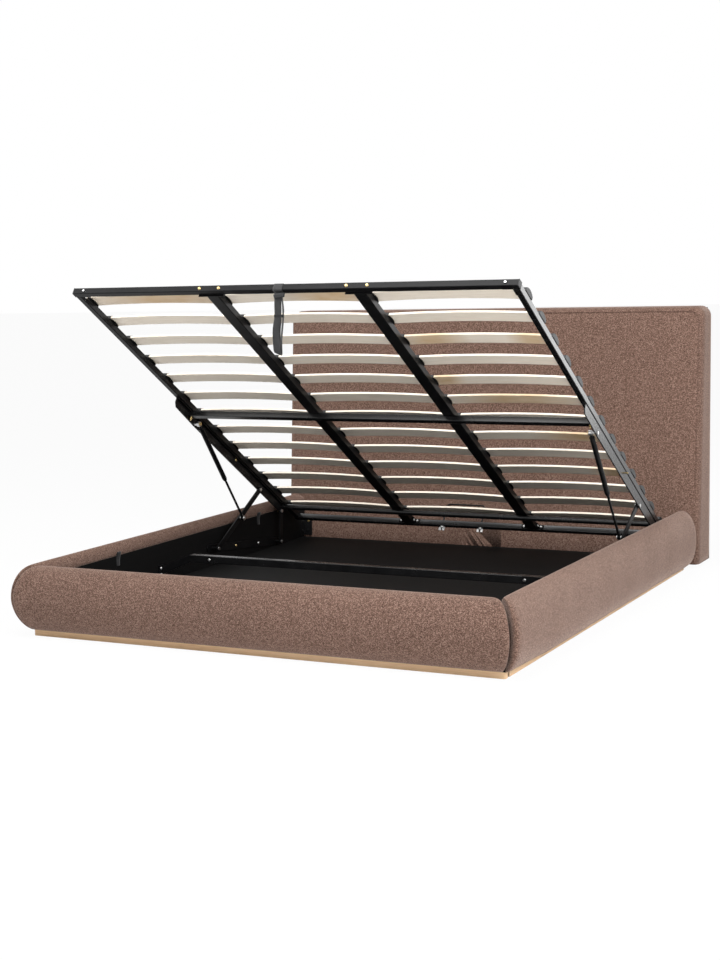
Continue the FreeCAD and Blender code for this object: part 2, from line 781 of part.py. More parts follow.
def build_slats():
    beam_half = lid_beam_width / 2
    columns = {
        "slats_left": (-rail_inner - slat_grip, -beam_centre - beam_half + slat_grip),
        "slats_centre": (-beam_centre + beam_half - slat_grip, beam_centre - beam_half + slat_grip),
        "slats_right": (beam_centre + beam_half - slat_grip, rail_inner + slat_grip)}
    rows = [slat_first_along + row * slat_pitch for row in range(slat_rows)]
    for name, (x0, x1) in columns.items():
        parts[name] = group([raised(slat(x0, x1, along)) for along in rows])
    rail_outer = lid_half + holder_overhang
    holders = []
    for along in rows:
        holders.append(holder(-rail_outer, -rail_inner, along, False, True))
        holders.append(holder(rail_inner, rail_outer, along, True, False))
        for centre in (-beam_centre, beam_centre):
            holders.append(holder(centre - beam_half, centre + beam_half, along, True, True))
    parts["slat_holders"] = group([raised(shape) for shape in holders])


def lift_arm():
    """The right lift arm: an angle under the side rail, deep enough for the pivots."""
    start, end = lid_length - arm_start_from_rear, lid_length - arm_end_from_rear
    profile = [(start, 0), (start, -arm_front_depth), (start + arm_taper, -arm_nose_depth),
               (strut_pivot_along, -arm_depth), (end, -arm_depth), (end, 0)]
    web = prism_x(profile, arm_inner, arm_outer)
    lugs = [cylinder_x(arm_inner, arm_outer, along, -drop, arm_lug_radius)
            for along, drop in ((lid_pivot_along, lid_pivot_drop), (stay_pivot_along, stay_pivot_drop))]
    edge = arm_outer - arm_flange
    flange = box(edge, arm_inner, start, end, -arm_thickness, 0)
    for from_rear, half in ((mid_bar_from_rear, lid_bar_depth / 2), (hinge_bar_from_rear, hinge_bar_radius)):
        along = lid_length - from_rear
        flange = flange.cut(box(edge, arm_inner, along - half, along + half, -arm_thickness, 0))
    arm = fused([web] + lugs + flange.Solids)
    holes = [cylinder_x(arm_inner - overrun, arm_outer + overrun, along, -drop, pin_radius + hole_clearance)
             for along, drop in ((lid_pivot_along, lid_pivot_drop), (stay_pivot_along, stay_pivot_drop),
                                 (strut_pivot_along, strut_pivot_drop))]
    return arm.cut(group(holes))


def lid_pins():
    """The right side's pins on the lift arm: lid pivot, stay stub and strut pivot."""
    head = (arm_outer + pin_head, arm_outer, pin_head_radius)
    pivot = stack_x(lid_pivot_along, -lid_pivot_drop, (
        head, (arm_outer, link_inner - pin_side_play, pin_radius),
        (arm_inner, link_outer + pin_side_play, pin_shoulder_radius),
        (link_inner - pin_side_play, link_inner - pin_side_play - pin_head, pin_head_radius)))
    stay = stack_x(stay_pivot_along, -stay_pivot_drop, (
        head, (arm_outer, link_outer + open_pivot_gap, pin_radius)))
    strut = stack_x(strut_pivot_along, -strut_pivot_drop, (
        head, (arm_outer, arm_inner, pin_radius),
        (arm_inner, strut_outer + pin_side_play, pin_shoulder_radius),
        (strut_outer + pin_side_play, strut_inner - pin_side_play, strut_pin_radius),
        (strut_inner - pin_side_play, strut_inner - pin_side_play - pin_head, pin_shoulder_radius)))
    return [pivot, stay, strut]


def retainer_legs():
    return (retainer_offset - retainer_width / 2, retainer_offset + retainer_width / 2)


def retainer():
    """A wire hoop that stands on the rear bar and keeps the mattress from sliding off the raised lid."""
    half, middle = retainer_width / 2, retainer_offset
    along = lid_length - lid_bar_depth / 2
    low, high, bend = -retainer_thread, lid_tube_height + retainer_height, retainer_bend_radius
    turn = bend * (1 - quarter_arc_share)

    def point(x, z):
        return vec(middle + x, along, z)

    edges = [
        Part.LineSegment(point(-half, low), point(-half, high - bend)),
        Part.Arc(point(-half, high - bend), point(turn - half, high - turn), point(bend - half, high)),
        Part.LineSegment(point(bend - half, high), point(half - bend, high)),
        Part.Arc(point(half - bend, high), point(half - turn, high - turn), point(half, high - bend)),
        Part.LineSegment(point(half, high - bend), point(half, low))]
    path = Part.Wire([edge.toShape() for edge in edges])
    circle = Part.Wire([Part.Circle(point(-half, low), AXIS_Z, retainer_wire_radius).toShape()])
    return path.makePipeShell([circle], True, True)


def wing_nut(x):
    """A wing nut under the rear bar, on the threaded end of a retainer leg."""
    along = lid_length - lid_bar_depth / 2
    hub = Part.makeCylinder(nut_radius, nut_height, vec(x, along, -nut_height), AXIS_Z)
    wings = box(x - nut_radius - wing_length, x + nut_radius + wing_length, along - wing_thickness / 2,
                along + wing_thickness / 2, -wing_height, -nut_height * wing_root_share)
    bore = Part.makeCylinder(retainer_wire_radius + hole_clearance, wing_height + 2 * overrun,
                             vec(x, along, -wing_height - overrun), AXIS_Z)
    return fused([hub, wings]).cut(bore)


def beam_clip(x, side):
    """A small angle that bolts a beam to the rear bar, on the side of the beam given by -1 or 1."""
    rear = lid_length - lid_bar_depth
    low = (lid_tube_height - clip_height) / 2
    on_beam = box(min(x, x + side * clip_thickness), max(x, x + side * clip_thickness), rear - clip_leg, rear,
                  low, low + clip_height)
    on_bar = box(min(x, x + side * clip_leg), max(x, x + side * clip_leg), rear - clip_thickness, rear,
                 low, low + clip_height)
    return fused([on_beam, on_bar])


def corner_clip():
    """The right angle that bolts a side rail to the back of the front bar."""
    low, high = (lid_tube_height - clip_height) / 2, (lid_tube_height + clip_height) / 2
    front = lid_bar_depth
    on_bar = box(rail_inner - corner_clip_leg, rail_inner, front, front + clip_thickness, low, high)
    on_rail = box(rail_inner - clip_thickness, rail_inner, front, front + corner_clip_leg, low, high)
    return fused([on_bar, on_rail])


def end_plug(x0, x1, y0, y1):
    """A plastic plug over the open end of a bar, with a stub inside the tube."""
    outer = box(min(x0, x1), max(x0, x1), y0, y1, 0, lid_tube_height)
    wall = tube_wall + hole_clearance
    stub_end = x0 - (x1 - x0) * 2
    stub = box(min(x0, stub_end), max(x0, stub_end), y0 + wall, y1 - wall, wall, lid_tube_height - wall)
    return fused([outer, stub])


def front_plate(x):
    """A plate on the front end of a beam, bolted to the back of the front bar."""
    half = front_plate_width / 2
    return box(x - half, x + half, lid_bar_depth, lid_bar_depth + front_plate_thickness,
               -front_plate_drop, lid_tube_height - tube_corner_radius)


def mid_stud():
    """The stud that hangs under the mid bar's right end with its nut, and the hole that it needs."""
    x, along = arm_inner - mid_bolt_inset, lid_length - mid_bar_from_rear
    low = -lid_tube_height
    nut = Part.makeCylinder(bolt_head_radius, mid_nut_height, vec(x, along, low - mid_nut_height), AXIS_Z)
    rod_start = vec(x, along, low - mid_bolt_tail)
    rod = Part.makeCylinder(bolt_radius, lid_tube_height + mid_bolt_tail - tube_wall, rod_start, AXIS_Z)
    hole = Part.makeCylinder(bolt_radius + hole_clearance, lid_tube_height + mid_bolt_tail, rod_start, AXIS_Z)
    return fused([nut, rod]), hole


def build_lid():
    rear = lid_length - lid_bar_depth
    height, wall = lid_tube_height, tube_wall
    middle = height / 2
    beam_half = lid_beam_width / 2
    front_bar = tube(-lid_half, lid_half, 0, lid_bar_depth, 0, height, wall, 0)
    rear_bar = tube(-lid_half, lid_half, rear, lid_length, 0, height, wall, 0)
    front = lid_bar_depth + front_plate_thickness
    side_rail = tube(rail_inner, lid_half, lid_bar_depth, rear, 0, height, wall, 1)
    beam = tube(beam_centre - beam_half, beam_centre + beam_half, front, rear, 0, height, wall, 1)
    mid_start = lid_length - mid_bar_from_rear - lid_bar_depth / 2
    mid_bar = tube(-arm_inner, arm_inner, mid_start, mid_start + lid_bar_depth, -height, 0, wall, 0)
    hinge_along = lid_length - hinge_bar_from_rear
    hinge_bar = cylinder_x(-arm_inner, arm_inner, hinge_along, -hinge_bar_radius, hinge_bar_radius)
    hinge_bore = cylinder_x(-arm_inner - overrun, arm_inner + overrun, hinge_along, -hinge_bar_radius,
                            hinge_bar_radius - wall)
    hinge_bar = hinge_bar.cut(hinge_bore)
    for x in retainer_legs():
        start = vec(x, lid_length - lid_bar_depth / 2, -height / 2)
        leg_hole = Part.makeCylinder(retainer_wire_radius + hole_clearance, 2 * height, start, AXIS_Z)
        rear_bar = rear_bar.cut(leg_hole)

    reach = (corner_clip_leg + clip_thickness) / 2
    front_places = across([(vec(rail_inner - reach, 0, middle), AXIS_Y * -1)])
    for centre in (-beam_centre, beam_centre):
        for side in (-1, 1):
            front_places.append((vec(centre + side * front_bolt_spacing / 2, 0, middle), AXIS_Y * -1))
    places = across([(vec(rail_inner - clip_thickness, lid_bar_depth + reach, middle), AXIS_X * -1)])
    arm_bolt = vec(arm_inner, lid_length - arm_bolt_from_rear, -arm_bolt_drop)
    arm_places = across([(arm_bolt, AXIS_X * -1)])
    clips = [corner_clip(), mirrored(corner_clip())]
    reach = (clip_leg + clip_thickness) / 2
    for centre in (-beam_centre, beam_centre):
        for side in (-1, 1):
            x = centre + side * beam_half
            clips.append(beam_clip(x, side))
            places.append((vec(x + side * reach, rear - clip_thickness, middle), AXIS_Y * -1))
            places.append((vec(x + side * clip_thickness, rear - reach, middle), vec(side, 0, 0)))
    parts["lid_front_bar"] = raised(drilled(front_bar, front_places, front_bolt_length))
    parts["lid_rear_bar"] = raised(drilled(rear_bar, places))
    parts["lid_right_rail"] = raised(drilled(side_rail, places))
    parts["lid_left_rail"] = raised(drilled(mirrored(side_rail), places))
    parts["lid_right_beam"] = raised(drilled(beam, places))
    parts["lid_left_beam"] = raised(drilled(mirrored(beam), places))
    stud = mid_stud()
    parts["lid_mid_bar"] = raised(mid_bar.cut(group([stud[1], mirrored(stud[1])])))
    parts["lid_hinge_bar"] = raised(hinge_bar)
    parts["lid_clips"] = raised(drilled(drilled(group(clips), places), front_places, front_bolt_length))
    bolts = [bolt(seat, out) for seat, out in places + arm_places]
    bolts += [bolt(seat, out, front_bolt_length) for seat, out in front_places]
    parts["lid_bolts"] = raised(group(bolts + [stud[0], mirrored(stud[0])]))
    plates = group([front_plate(-beam_centre), front_plate(beam_centre)])
    parts["lid_front_plates"] = raised(drilled(plates, front_places, front_bolt_length))

    plug_end = lid_half + end_plug_thickness
    plugs = []
    for sign in (-1, 1):
        for y0, y1 in ((0, lid_bar_depth), (rear, lid_length)):
            plugs.append(end_plug(sign * lid_half, sign * plug_end, y0, y1))
    parts["lid_end_plugs"] = raised(group(plugs))

    arm = drilled(lift_arm(), arm_places)
    parts["right_lift_arm"] = raised(arm)
    parts["left_lift_arm"] = raised(mirrored(arm))
    pins = lid_pins()
    parts["lid_pins"] = raised(group(pins + [mirrored(pin) for pin in pins]))
    parts["mattress_retainer"] = raised(retainer())
    parts["retainer_nuts"] = raised(group([wing_nut(x) for x in retainer_legs()]))
    build_slats()


# Links and gas struts, drawn where they stand with the lid open
def rear_link():
    link = stadium(rear_base_pivot, lid_pivot, link_radius, link_inner, link_outer)
    holes = [cylinder_x(link_inner - overrun, link_outer + overrun, y, z, pin_radius + hole_clearance)
             for y, z in (rear_base_pivot, lid_pivot)]
    return link.cut(group(holes))


def front_link():
    """The stay: a long flat bar with a bolt head at the lid end and a stud for the strut."""
    bar = stadium(front_base_pivot, stay_pivot, link_radius, link_inner, link_outer)
    head = cylinder_x(link_inner - pin_head, link_inner, *stay_pivot, pin_head_radius)
    stud = cylinder_x(strut_outer + open_pivot_gap, link_inner, *strut_foot, pin_shoulder_radius)
    hole = cylinder_x(link_inner - overrun, link_outer + overrun, *front_base_pivot,
                      pin_radius + hole_clearance)
    return fused([bar, head, stud]).cut(hole)


def strut_frame():
    """Start, direction and length of the strut with the lid open."""
    run = vec(0, strut_foot[0] - strut_pivot[0], strut_foot[1] - strut_pivot[1])
    return vec(strut_axis, strut_pivot[0], strut_pivot[1]), vec(0, run.y, run.z).normalize(), run.Length


def strut_cylinder():
    start, along, length = strut_frame()
    eye = cylinder_x(strut_inner, strut_outer, *strut_pivot, strut_eye_radius)
    neck = Part.makeCylinder(strut_neck_radius, strut_neck_length, start, along)
    body_start = start + along * strut_neck_length
    body = Part.makeCylinder(strut_radius, strut_cylinder_length, body_start, along)
    collar = Part.makeCone(strut_radius, strut_collar_radius, strut_collar_length,
                           body_start + along * strut_cylinder_length, along)
    mouth = strut_neck_length + strut_cylinder_length + strut_collar_length
    depth = strut_rod_inside + strut_bore_spare
    bore_start = start + along * (mouth - depth)
    bore = Part.makeCylinder(strut_rod_radius + hole_clearance, depth + overrun, bore_start, along)
    pin_hole = cylinder_x(strut_inner - overrun, strut_outer + overrun, *strut_pivot,
                          strut_pin_radius + hole_clearance)
    return fused([eye, neck, body, collar]).cut(bore).cut(pin_hole)


def strut_rod():
    start, along, length = strut_frame()
    mouth = strut_neck_length + strut_cylinder_length + strut_collar_length
    rod_start = mouth - strut_rod_inside
    rod = Part.makeCylinder(strut_rod_radius, length - rod_start, start + along * rod_start, along)
    neck_start = start + along * (length - strut_neck_length)
    neck = Part.makeCylinder(strut_neck_radius, strut_neck_length, neck_start, along)
    eye = cylinder_x(strut_inner, strut_outer, *strut_foot, strut_eye_radius)
    head = cylinder_x(strut_inner - pin_head, strut_inner, *strut_foot, pin_shoulder_radius)
    return fused([rod, neck, eye, head])


def build_lift():
    for name, shape in (("rear_link", rear_link()), ("front_link", front_link()),
                        ("strut_cylinder", strut_cylinder()), ("strut_rod", strut_rod())):
        parts["right_" + name] = shape
        parts["left_" + name] = mirrored(shape)


# The pull strap hangs from a sleeve of webbing on the front bar
def build_strap():
    left, right = strap_offset - strap_width / 2, strap_offset + strap_width / 2
    gap, thick = strap_gap, strap_thickness
    wrap = gap + thick
    sleeve = box(left, right, -wrap, lid_bar_depth + wrap, -wrap, lid_tube_height + wrap)
    hollow = box(left - overrun, right + overrun, -gap, lid_bar_depth + gap, -gap, lid_tube_height + gap)
    parts["strap_sleeve"] = raised(sleeve.cut(hollow))

    hinge_y, hinge_z = lid_point(lid_bar_depth / 2, -2 * (gap + thick))
    neck = hinge_z - strap_neck
    round_half = strap_loop_width / 2
    round_z = hinge_z - strap_hang + round_half
    widest = (neck + round_z) / 2

    def ring(inset):
        """The hanging webbing filled in, drawn in from its outer face by the inset."""
        slim, wide = thick - inset, round_half - inset
        turn = wide * quarter_arc_share

        def point(y, z):
            return vec(left, hinge_y + y, z)

        edges = [
            Part.LineSegment(point(-slim, neck), point(-wide, widest)),
            Part.LineSegment(point(-wide, widest), point(-wide, round_z)),
            Part.Arc(point(-wide, round_z), point(-turn, round_z - turn), point(0, round_z - wide)),
            Part.Arc(point(0, round_z - wide), point(turn, round_z - turn), point(wide, round_z)),
            Part.LineSegment(point(wide, round_z), point(wide, widest)),
            Part.LineSegment(point(wide, widest), point(slim, neck))]
        if slim > 0:
            edges += [
                Part.LineSegment(point(slim, neck), point(slim, hinge_z)),
                Part.Arc(point(slim, hinge_z), point(0, hinge_z + slim), point(-slim, hinge_z)),
                Part.LineSegment(point(-slim, hinge_z), point(-slim, neck))]
        return Part.Face(Part.Wire([edge.toShape() for edge in edges])).extrude(vec(strap_width, 0, 0))

    parts["pull_strap"] = ring(0).cut(ring(thick))
    wall = slider_wall
    reach = thick + hole_clearance
    spare = (slider_width - strap_width) / 2
    outer = box(left - spare, right + spare, hinge_y - reach - wall, hinge_y + reach + wall,
                neck + gap, neck + gap + slider_height)
    slot = box(left - hole_clearance, right + hole_clearance, hinge_y - reach, hinge_y + reach,
               neck - overrun, neck + slider_height + overrun)
    parts["strap_slider"] = outer.cut(slot)


build_base()
build_lid()
build_lift()
build_strap()

os.makedirs("parts", exist_ok=True)
for name, shape in parts.items():
    shape.exportStep("parts/" + name + ".step")
print(len(parts), "parts")
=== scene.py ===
"""Looks of a double bed: a padded frame and headboard, and a raised slatted lid over its storage space.

Lengths are in metres, in the frame of the solids: +Y from the foot to the headboard, +Z up, +X to the right.
"""
import json
import math

import bpy
import numpy as np
from mathutils import Matrix, Vector


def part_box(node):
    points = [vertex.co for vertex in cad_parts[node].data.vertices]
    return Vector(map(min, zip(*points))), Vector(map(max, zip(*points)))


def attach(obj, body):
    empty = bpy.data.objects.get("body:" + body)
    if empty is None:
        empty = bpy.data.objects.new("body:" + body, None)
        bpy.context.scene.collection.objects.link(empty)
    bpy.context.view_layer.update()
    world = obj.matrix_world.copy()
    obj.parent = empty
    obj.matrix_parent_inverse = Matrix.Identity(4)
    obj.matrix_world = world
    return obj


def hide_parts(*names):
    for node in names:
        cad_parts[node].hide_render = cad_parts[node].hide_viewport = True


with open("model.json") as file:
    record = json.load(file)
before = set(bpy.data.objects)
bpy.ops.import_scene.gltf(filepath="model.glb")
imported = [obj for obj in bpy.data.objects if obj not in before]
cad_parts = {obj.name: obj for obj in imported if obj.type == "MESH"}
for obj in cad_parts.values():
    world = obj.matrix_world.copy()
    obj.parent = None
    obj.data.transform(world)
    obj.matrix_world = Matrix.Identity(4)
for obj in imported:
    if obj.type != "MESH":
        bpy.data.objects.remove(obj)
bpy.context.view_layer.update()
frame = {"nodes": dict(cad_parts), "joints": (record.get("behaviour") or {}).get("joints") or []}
nodes = frame["nodes"]
joints = {joint["name"]: joint for joint in frame["joints"]}

# Places shared with the solids
BOARD_HALF = 0.935  # outer faces of the side boards
INNER_HALF = 0.910  # inner faces of the side boards
BOARD_TOP = 0.214
FOOT_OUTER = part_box("foot_rail_board")[0].y
FOOT_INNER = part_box("foot_rail_board")[1].y
INNER_LENGTH = 2.011  # from the foot board to the headboard
HEAD_FRONT, FRONT_SLOPE = 0.94362, 0.08871  # the headboard's front at the floor, and its lean
HEAD_BACK, BACK_SLOPE = 1.12762, 0.02957
LID_ANGLE = math.radians(33.5)
LID_LENGTH = 1.990
LID_PIVOT_ALONG = 1.812
LID_PIVOT_DROP = 0.037
BAR_SIZE = 0.025  # the lid's front bar is a square tube
SLAT_COUNT = 13
FIRST_SLAT = 0.102  # from the lid's front end
LAST_SLAT = 0.107  # from its rear end
SLAT_PITCH = (LID_LENGTH - FIRST_SLAT - LAST_SLAT) / (SLAT_COUNT - 1)
BEAM_X = 0.2963
SOFT_GAP = 0.0004  # between a soft piece and what it lies on


def head_front(z):
    """The y of the headboard's front face at a height."""
    return HEAD_FRONT + FRONT_SLOPE * z


def head_back(z):
    return HEAD_BACK + BACK_SLOPE * z


def lid_place(x, u, n):
    """A place on the lid: x across, u along from the front bar, n up from the underside of its tubes."""
    hinge = joints["lid_hinge"]["pos_m"]
    along, up = u - LID_PIVOT_ALONG, n + LID_PIVOT_DROP
    cosine, sine = math.cos(LID_ANGLE), math.sin(LID_ANGLE)
    return Vector((x, hinge[1] + along * cosine + up * sine, hinge[2] - along * sine + up * cosine))


def lid_along(p):
    """How far a point is from the lid's front edge."""
    hinge = joints["lid_hinge"]["pos_m"]
    return (p.y - hinge[1]) * math.cos(LID_ANGLE) - (p.z - hinge[2]) * math.sin(LID_ANGLE) + LID_PIVOT_ALONG


# Materials
class Maker:
    """Makes one material; its calls add shader nodes, and a value may be a number, a colour or a socket."""

    def __init__(self, name):
        self.material = bpy.data.materials.new(name)
        self.material.use_nodes = True
        self.tree = self.material.node_tree
        self.shader = self.tree.nodes["Principled BSDF"]
        self.place = self.add("ShaderNodeTexCoord").outputs["Object"]

    def add(self, kind, values=None, **settings):
        made = self.tree.nodes.new(kind)
        for key, value in settings.items():
            setattr(made, key, value)
        for key, value in (values or {}).items():
            self.put(made.inputs[key], value)
        return made

    def put(self, socket, value):
        if isinstance(value, bpy.types.NodeSocket):
            self.tree.links.new(value, socket)
        elif socket.type == "RGBA":
            socket.default_value = (*value[:3], 1.0)
        else:
            socket.default_value = value

    def set(self, **values):
        for key, value in values.items():
            self.put(self.shader.inputs[key.replace("_", " ")], value)
        return self.material

    def math(self, operation, a, b=0.0, clamp=False):
        return self.add("ShaderNodeMath", {0: a, 1: b}, operation=operation, use_clamp=clamp).outputs[0]

    def blend(self, a, b, share):
        """A weighted sum of two values."""
        return self.math("ADD", self.math("MULTIPLY", a, share), self.math("MULTIPLY", b, 1.0 - share))

    def scaled(self, place, size):
        return self.add("ShaderNodeVectorMath", {0: place, 1: size}, operation="MULTIPLY").outputs[0]

    def noise(self, scale, detail=2.0, rough=0.5, place=None):
        values = {"Vector": place or self.place, "Scale": scale, "Detail": detail, "Roughness": rough}
        return self.add("ShaderNodeTexNoise", values).outputs["Fac"]

    def cells(self, scale, place=None):
        return self.add("ShaderNodeTexVoronoi", {"Vector": place or self.place, "Scale": scale})

    def cell_tone(self, cells):
        """A number that differs from cell to cell."""
        return self.add("ShaderNodeSeparateColor", {0: cells.outputs["Color"]}).outputs[0]

    def ramp(self, value, stops):
        made = self.add("ShaderNodeValToRGB", {"Fac": value})
        points = made.color_ramp.elements
        while len(points) < len(stops):
            points.new(1.0)
        for point, (at, colour) in zip(points, stops):
            point.position = at
            point.color = (*colour, 1.0)
        return made.outputs["Color"]

    def mix(self, share, a, b, blend="MIX"):
        made = self.add("ShaderNodeMix", data_type="RGBA", blend_type=blend)
        for key, value in ((0, share), (6, a), (7, b)):
            self.put(made.inputs[key], value)
        return made.outputs[2]

    def shaded(self, colour, value):
        """The colour times a number."""
        grey = self.add("ShaderNodeCombineColor", {0: value, 1: value, 2: value}).outputs[0]
        return self.mix(1.0, colour, grey, "MULTIPLY")

    def span(self, value, low, high):
        return self.add("ShaderNodeMapRange", {0: value, 3: low, 4: high}).outputs[0]

    def bump(self, height, strength, distance, normal=None):
        values = {"Height": height, "Strength": strength, "Distance": distance}
        if normal:
            values["Normal"] = normal
        return self.add("ShaderNodeBump", values).outputs[0]

    def edge(self, radius):
        """A normal that softens sharp edges."""
        return self.add("ShaderNodeBevel", {"Radius": radius}, samples=4).outputs[0]


def boucle():
    """Looped wool cloth: small nubs in mixed browns, with a faint cloudiness."""
    m = Maker("boucle_cloth")
    nubs = m.cells(400.0)
    fine = m.noise(310.0, 3.0, 0.65)
    colour = m.ramp(m.blend(m.cell_tone(nubs), fine, 0.5),
                    [(0.2, (0.046, 0.024, 0.017)), (0.45, (0.128, 0.074, 0.056)),
                     (0.62, (0.187, 0.115, 0.088)), (0.85, (0.345, 0.232, 0.186))])
    cloud = m.span(m.noise(5.0, 3.0, 0.55), 0.93, 1.07)
    height = m.math("SUBTRACT", m.math("MULTIPLY", fine, 0.6), nubs.outputs["Distance"])
    m.set(Base_Color=m.shaded(colour, cloud), Roughness=m.span(fine, 0.88, 1.0),
          Normal=m.bump(height, 0.4, 0.002))
    return m.set(Sheen_Weight=0.42, Sheen_Roughness=0.42, Sheen_Tint=(1.0, 0.81, 0.71), Specular_IOR_Level=0.1)


def black_board():
    """Black laminated board with a faint grain."""
    m = Maker("black_board")
    grain = m.noise(9.0, 4.0, 0.6, m.scaled(m.place, (1.0, 22.0, 22.0)))
    fleck = m.noise(420.0, 1.0)
    colour = m.ramp(grain, [(0.3, (0.003, 0.003, 0.0032)), (0.7, (0.006, 0.0058, 0.0058))])
    m.set(Base_Color=colour, Roughness=m.span(fleck, 0.55, 0.72), Normal=m.bump(fleck, 0.12, 0.0006))
    return m.set(Specular_IOR_Level=0.1)


def oak():
    """Pale oiled oak: long grain and darker pores."""
    m = Maker("oak")
    place = m.scaled(m.place, (3.0, 3.0, 90.0))
    drift = m.noise(2.2, 3.0, 0.5, m.scaled(m.place, (1.0, 1.0, 12.0)))
    grain = m.noise(6.0, 5.0, 0.62, place)
    pores = m.noise(26.0, 3.0, 0.6, place)
    colour = m.ramp(m.blend(grain, drift, 0.65),
                    [(0.25, (0.600, 0.370, 0.190)), (0.5, (0.800, 0.545, 0.320)),
                     (0.75, (0.880, 0.660, 0.430))])
    colour = m.mix(m.span(pores, 0.0, 0.28), colour, (0.50, 0.300, 0.150))
    return m.set(Base_Color=colour, Roughness=m.span(pores, 0.5, 0.68),
                 Normal=m.bump(pores, 0.2, 0.0008, m.edge(0.0012)))


# Warm streaks on some slats: row from the front, column from the left, middle and half length of the streak
WARM_SLATS = ((0, 1, 0.14, 0.17), (2, 2, 0.42, 0.12), (2, 2, 0.80, 0.08), (4, 2, 0.36, 0.07),
              (5, 2, 0.60, 0.24), (7, 2, 0.74, 0.16), (9, 2, 0.82, 0.10), (0, 0, -0.55, 0.30))
STREAK_FADE = 1.25


def birch():
    """Pale birch plywood; each slat has its own tint, and some have warm streaks."""
    m = Maker("birch")
    turn = m.add("ShaderNodeVectorRotate", {"Vector": m.place, "Axis": (1.0, 0.0, 0.0), "Angle": LID_ANGLE},
                 rotation_type="AXIS_ANGLE").outputs[0]
    across, along = m.add("ShaderNodeSeparateXYZ", {0: turn}).outputs[:2]
    start = lid_place(0, FIRST_SLAT, 0)
    first = start.y * math.cos(LID_ANGLE) - start.z * math.sin(LID_ANGLE)
    from_front = m.math("SUBTRACT", along, first - SLAT_PITCH / 2)
    row = m.math("FLOOR", m.math("DIVIDE", from_front, SLAT_PITCH))
    column = m.math("FLOOR", m.math("DIVIDE", m.math("ADD", across, 3 * BEAM_X), 2 * BEAM_X))
    which = m.add("ShaderNodeCombineXYZ", {0: row, 1: column, 2: 0.0}).outputs[0]
    chance = m.add("ShaderNodeTexWhiteNoise", {"Vector": which}, noise_dimensions="3D").outputs["Color"]
    own = m.add("ShaderNodeSeparateColor", {0: chance}).outputs[1]
    shifted = m.add("ShaderNodeVectorMath", {0: turn, 1: chance}, operation="ADD").outputs[0]
    grain = m.noise(7.0, 4.0, 0.6, m.scaled(shifted, (1.6, 38.0, 10.0)))
    patch = m.noise(9.0, 3.0, 0.6, m.scaled(shifted, (1.0, 3.0, 3.0)))
    pale = m.ramp(grain, [(0.3, (0.80, 0.705, 0.585)), (0.55, (0.87, 0.785, 0.670)),
                          (0.8, (0.92, 0.850, 0.750))])
    warm = None
    for slat_row, slat_column, middle, half in WARM_SLATS:
        here = m.math("MULTIPLY", m.math("COMPARE", row, float(slat_row)),
                      m.math("COMPARE", column, float(slat_column)))
        away = m.math("DIVIDE", m.math("ABSOLUTE", m.math("SUBTRACT", across, middle)), half)
        streak = m.math("MULTIPLY", here, m.math("SUBTRACT", STREAK_FADE, away, clamp=True))
        warm = m.math("MAXIMUM", warm, streak) if warm else streak
    warm = m.math("MULTIPLY", warm, m.span(patch, 0.35, 1.15), clamp=True)
    colour = m.shaded(m.mix(warm, pale, (0.60, 0.40, 0.20)), m.span(own, 0.92, 1.03))
    return m.set(Base_Color=colour, Roughness=m.span(grain, 0.5, 0.64),
                 Normal=m.bump(grain, 0.08, 0.0005, m.edge(0.0018)))


def case_board():
    """Raw chipboard."""
    m = Maker("case_board")
    tone = m.cell_tone(m.cells(140.0, m.scaled(m.place, (1.0, 0.5, 1.0))))
    colour = m.ramp(tone, [(0.0, (0.34, 0.24, 0.15)), (0.5, (0.46, 0.34, 0.22)), (1.0, (0.58, 0.45, 0.31))])
    return m.set(Base_Color=colour, Roughness=m.span(tone, 0.7, 0.86), Normal=m.bump(tone, 0.1, 0.0005))


def lining():
    """Thin black woven lining on the headboard's back."""
    m = Maker("back_lining")
    weave = m.cells(900.0)
    mottle = m.noise(60.0, 3.0, 0.6)
    colour = m.ramp(mottle, [(0.3, (0.010, 0.010, 0.011)), (0.7, (0.026, 0.025, 0.025))])
    return m.set(Base_Color=colour, Roughness=m.span(mottle, 0.8, 0.95),
                 Normal=m.bump(weave.outputs["Distance"], 0.3, 0.0006))


def black_plastic():
    """Moulded plastic with a fine grain."""
    m = Maker("black_plastic")
    grain = m.cells(1500.0)
    cloud = m.noise(30.0, 2.0)
    colour = m.ramp(cloud, [(0.3, (0.007, 0.007, 0.0075)), (0.7, (0.014, 0.014, 0.0145))])
    m.set(Base_Color=colour, Roughness=m.span(cloud, 0.38, 0.54),
          Normal=m.bump(grain.outputs["Distance"], 0.12, 0.0004, m.edge(0.0012)))
    return m.set(Specular_IOR_Level=0.3)


def black_steel(name, shine, rough):
    """Black powder coat, with its fine orange peel and slight dust."""
    m = Maker(name)
    peel = m.noise(700.0, 2.0, 0.5)
    dust = m.noise(14.0, 4.0, 0.62)
    colour = m.ramp(dust, [(0.32, (0.004, 0.004, 0.0044)), (0.68, (0.009, 0.009, 0.0095))])
    m.set(Base_Color=colour, Roughness=m.span(dust, rough, rough + 0.12),
          Normal=m.bump(peel, 0.08, 0.0004, m.edge(0.0016)))
    return m.set(Specular_IOR_Level=shine)


def plated(name, dark, light, rough):
    """Plated steel with slight wear and lathe marks."""
    m = Maker(name)
    worn = m.noise(90.0, 3.0, 0.6)
    lathe = m.noise(520.0, 1.0)
    colour = m.ramp(worn, [(0.3, dark), (0.7, light)])
    return m.set(Base_Color=colour, Metallic=1.0, Roughness=m.span(worn, rough, rough + 0.16),
                 Normal=m.bump(lathe, 0.08, 0.0004, m.edge(0.0008)))


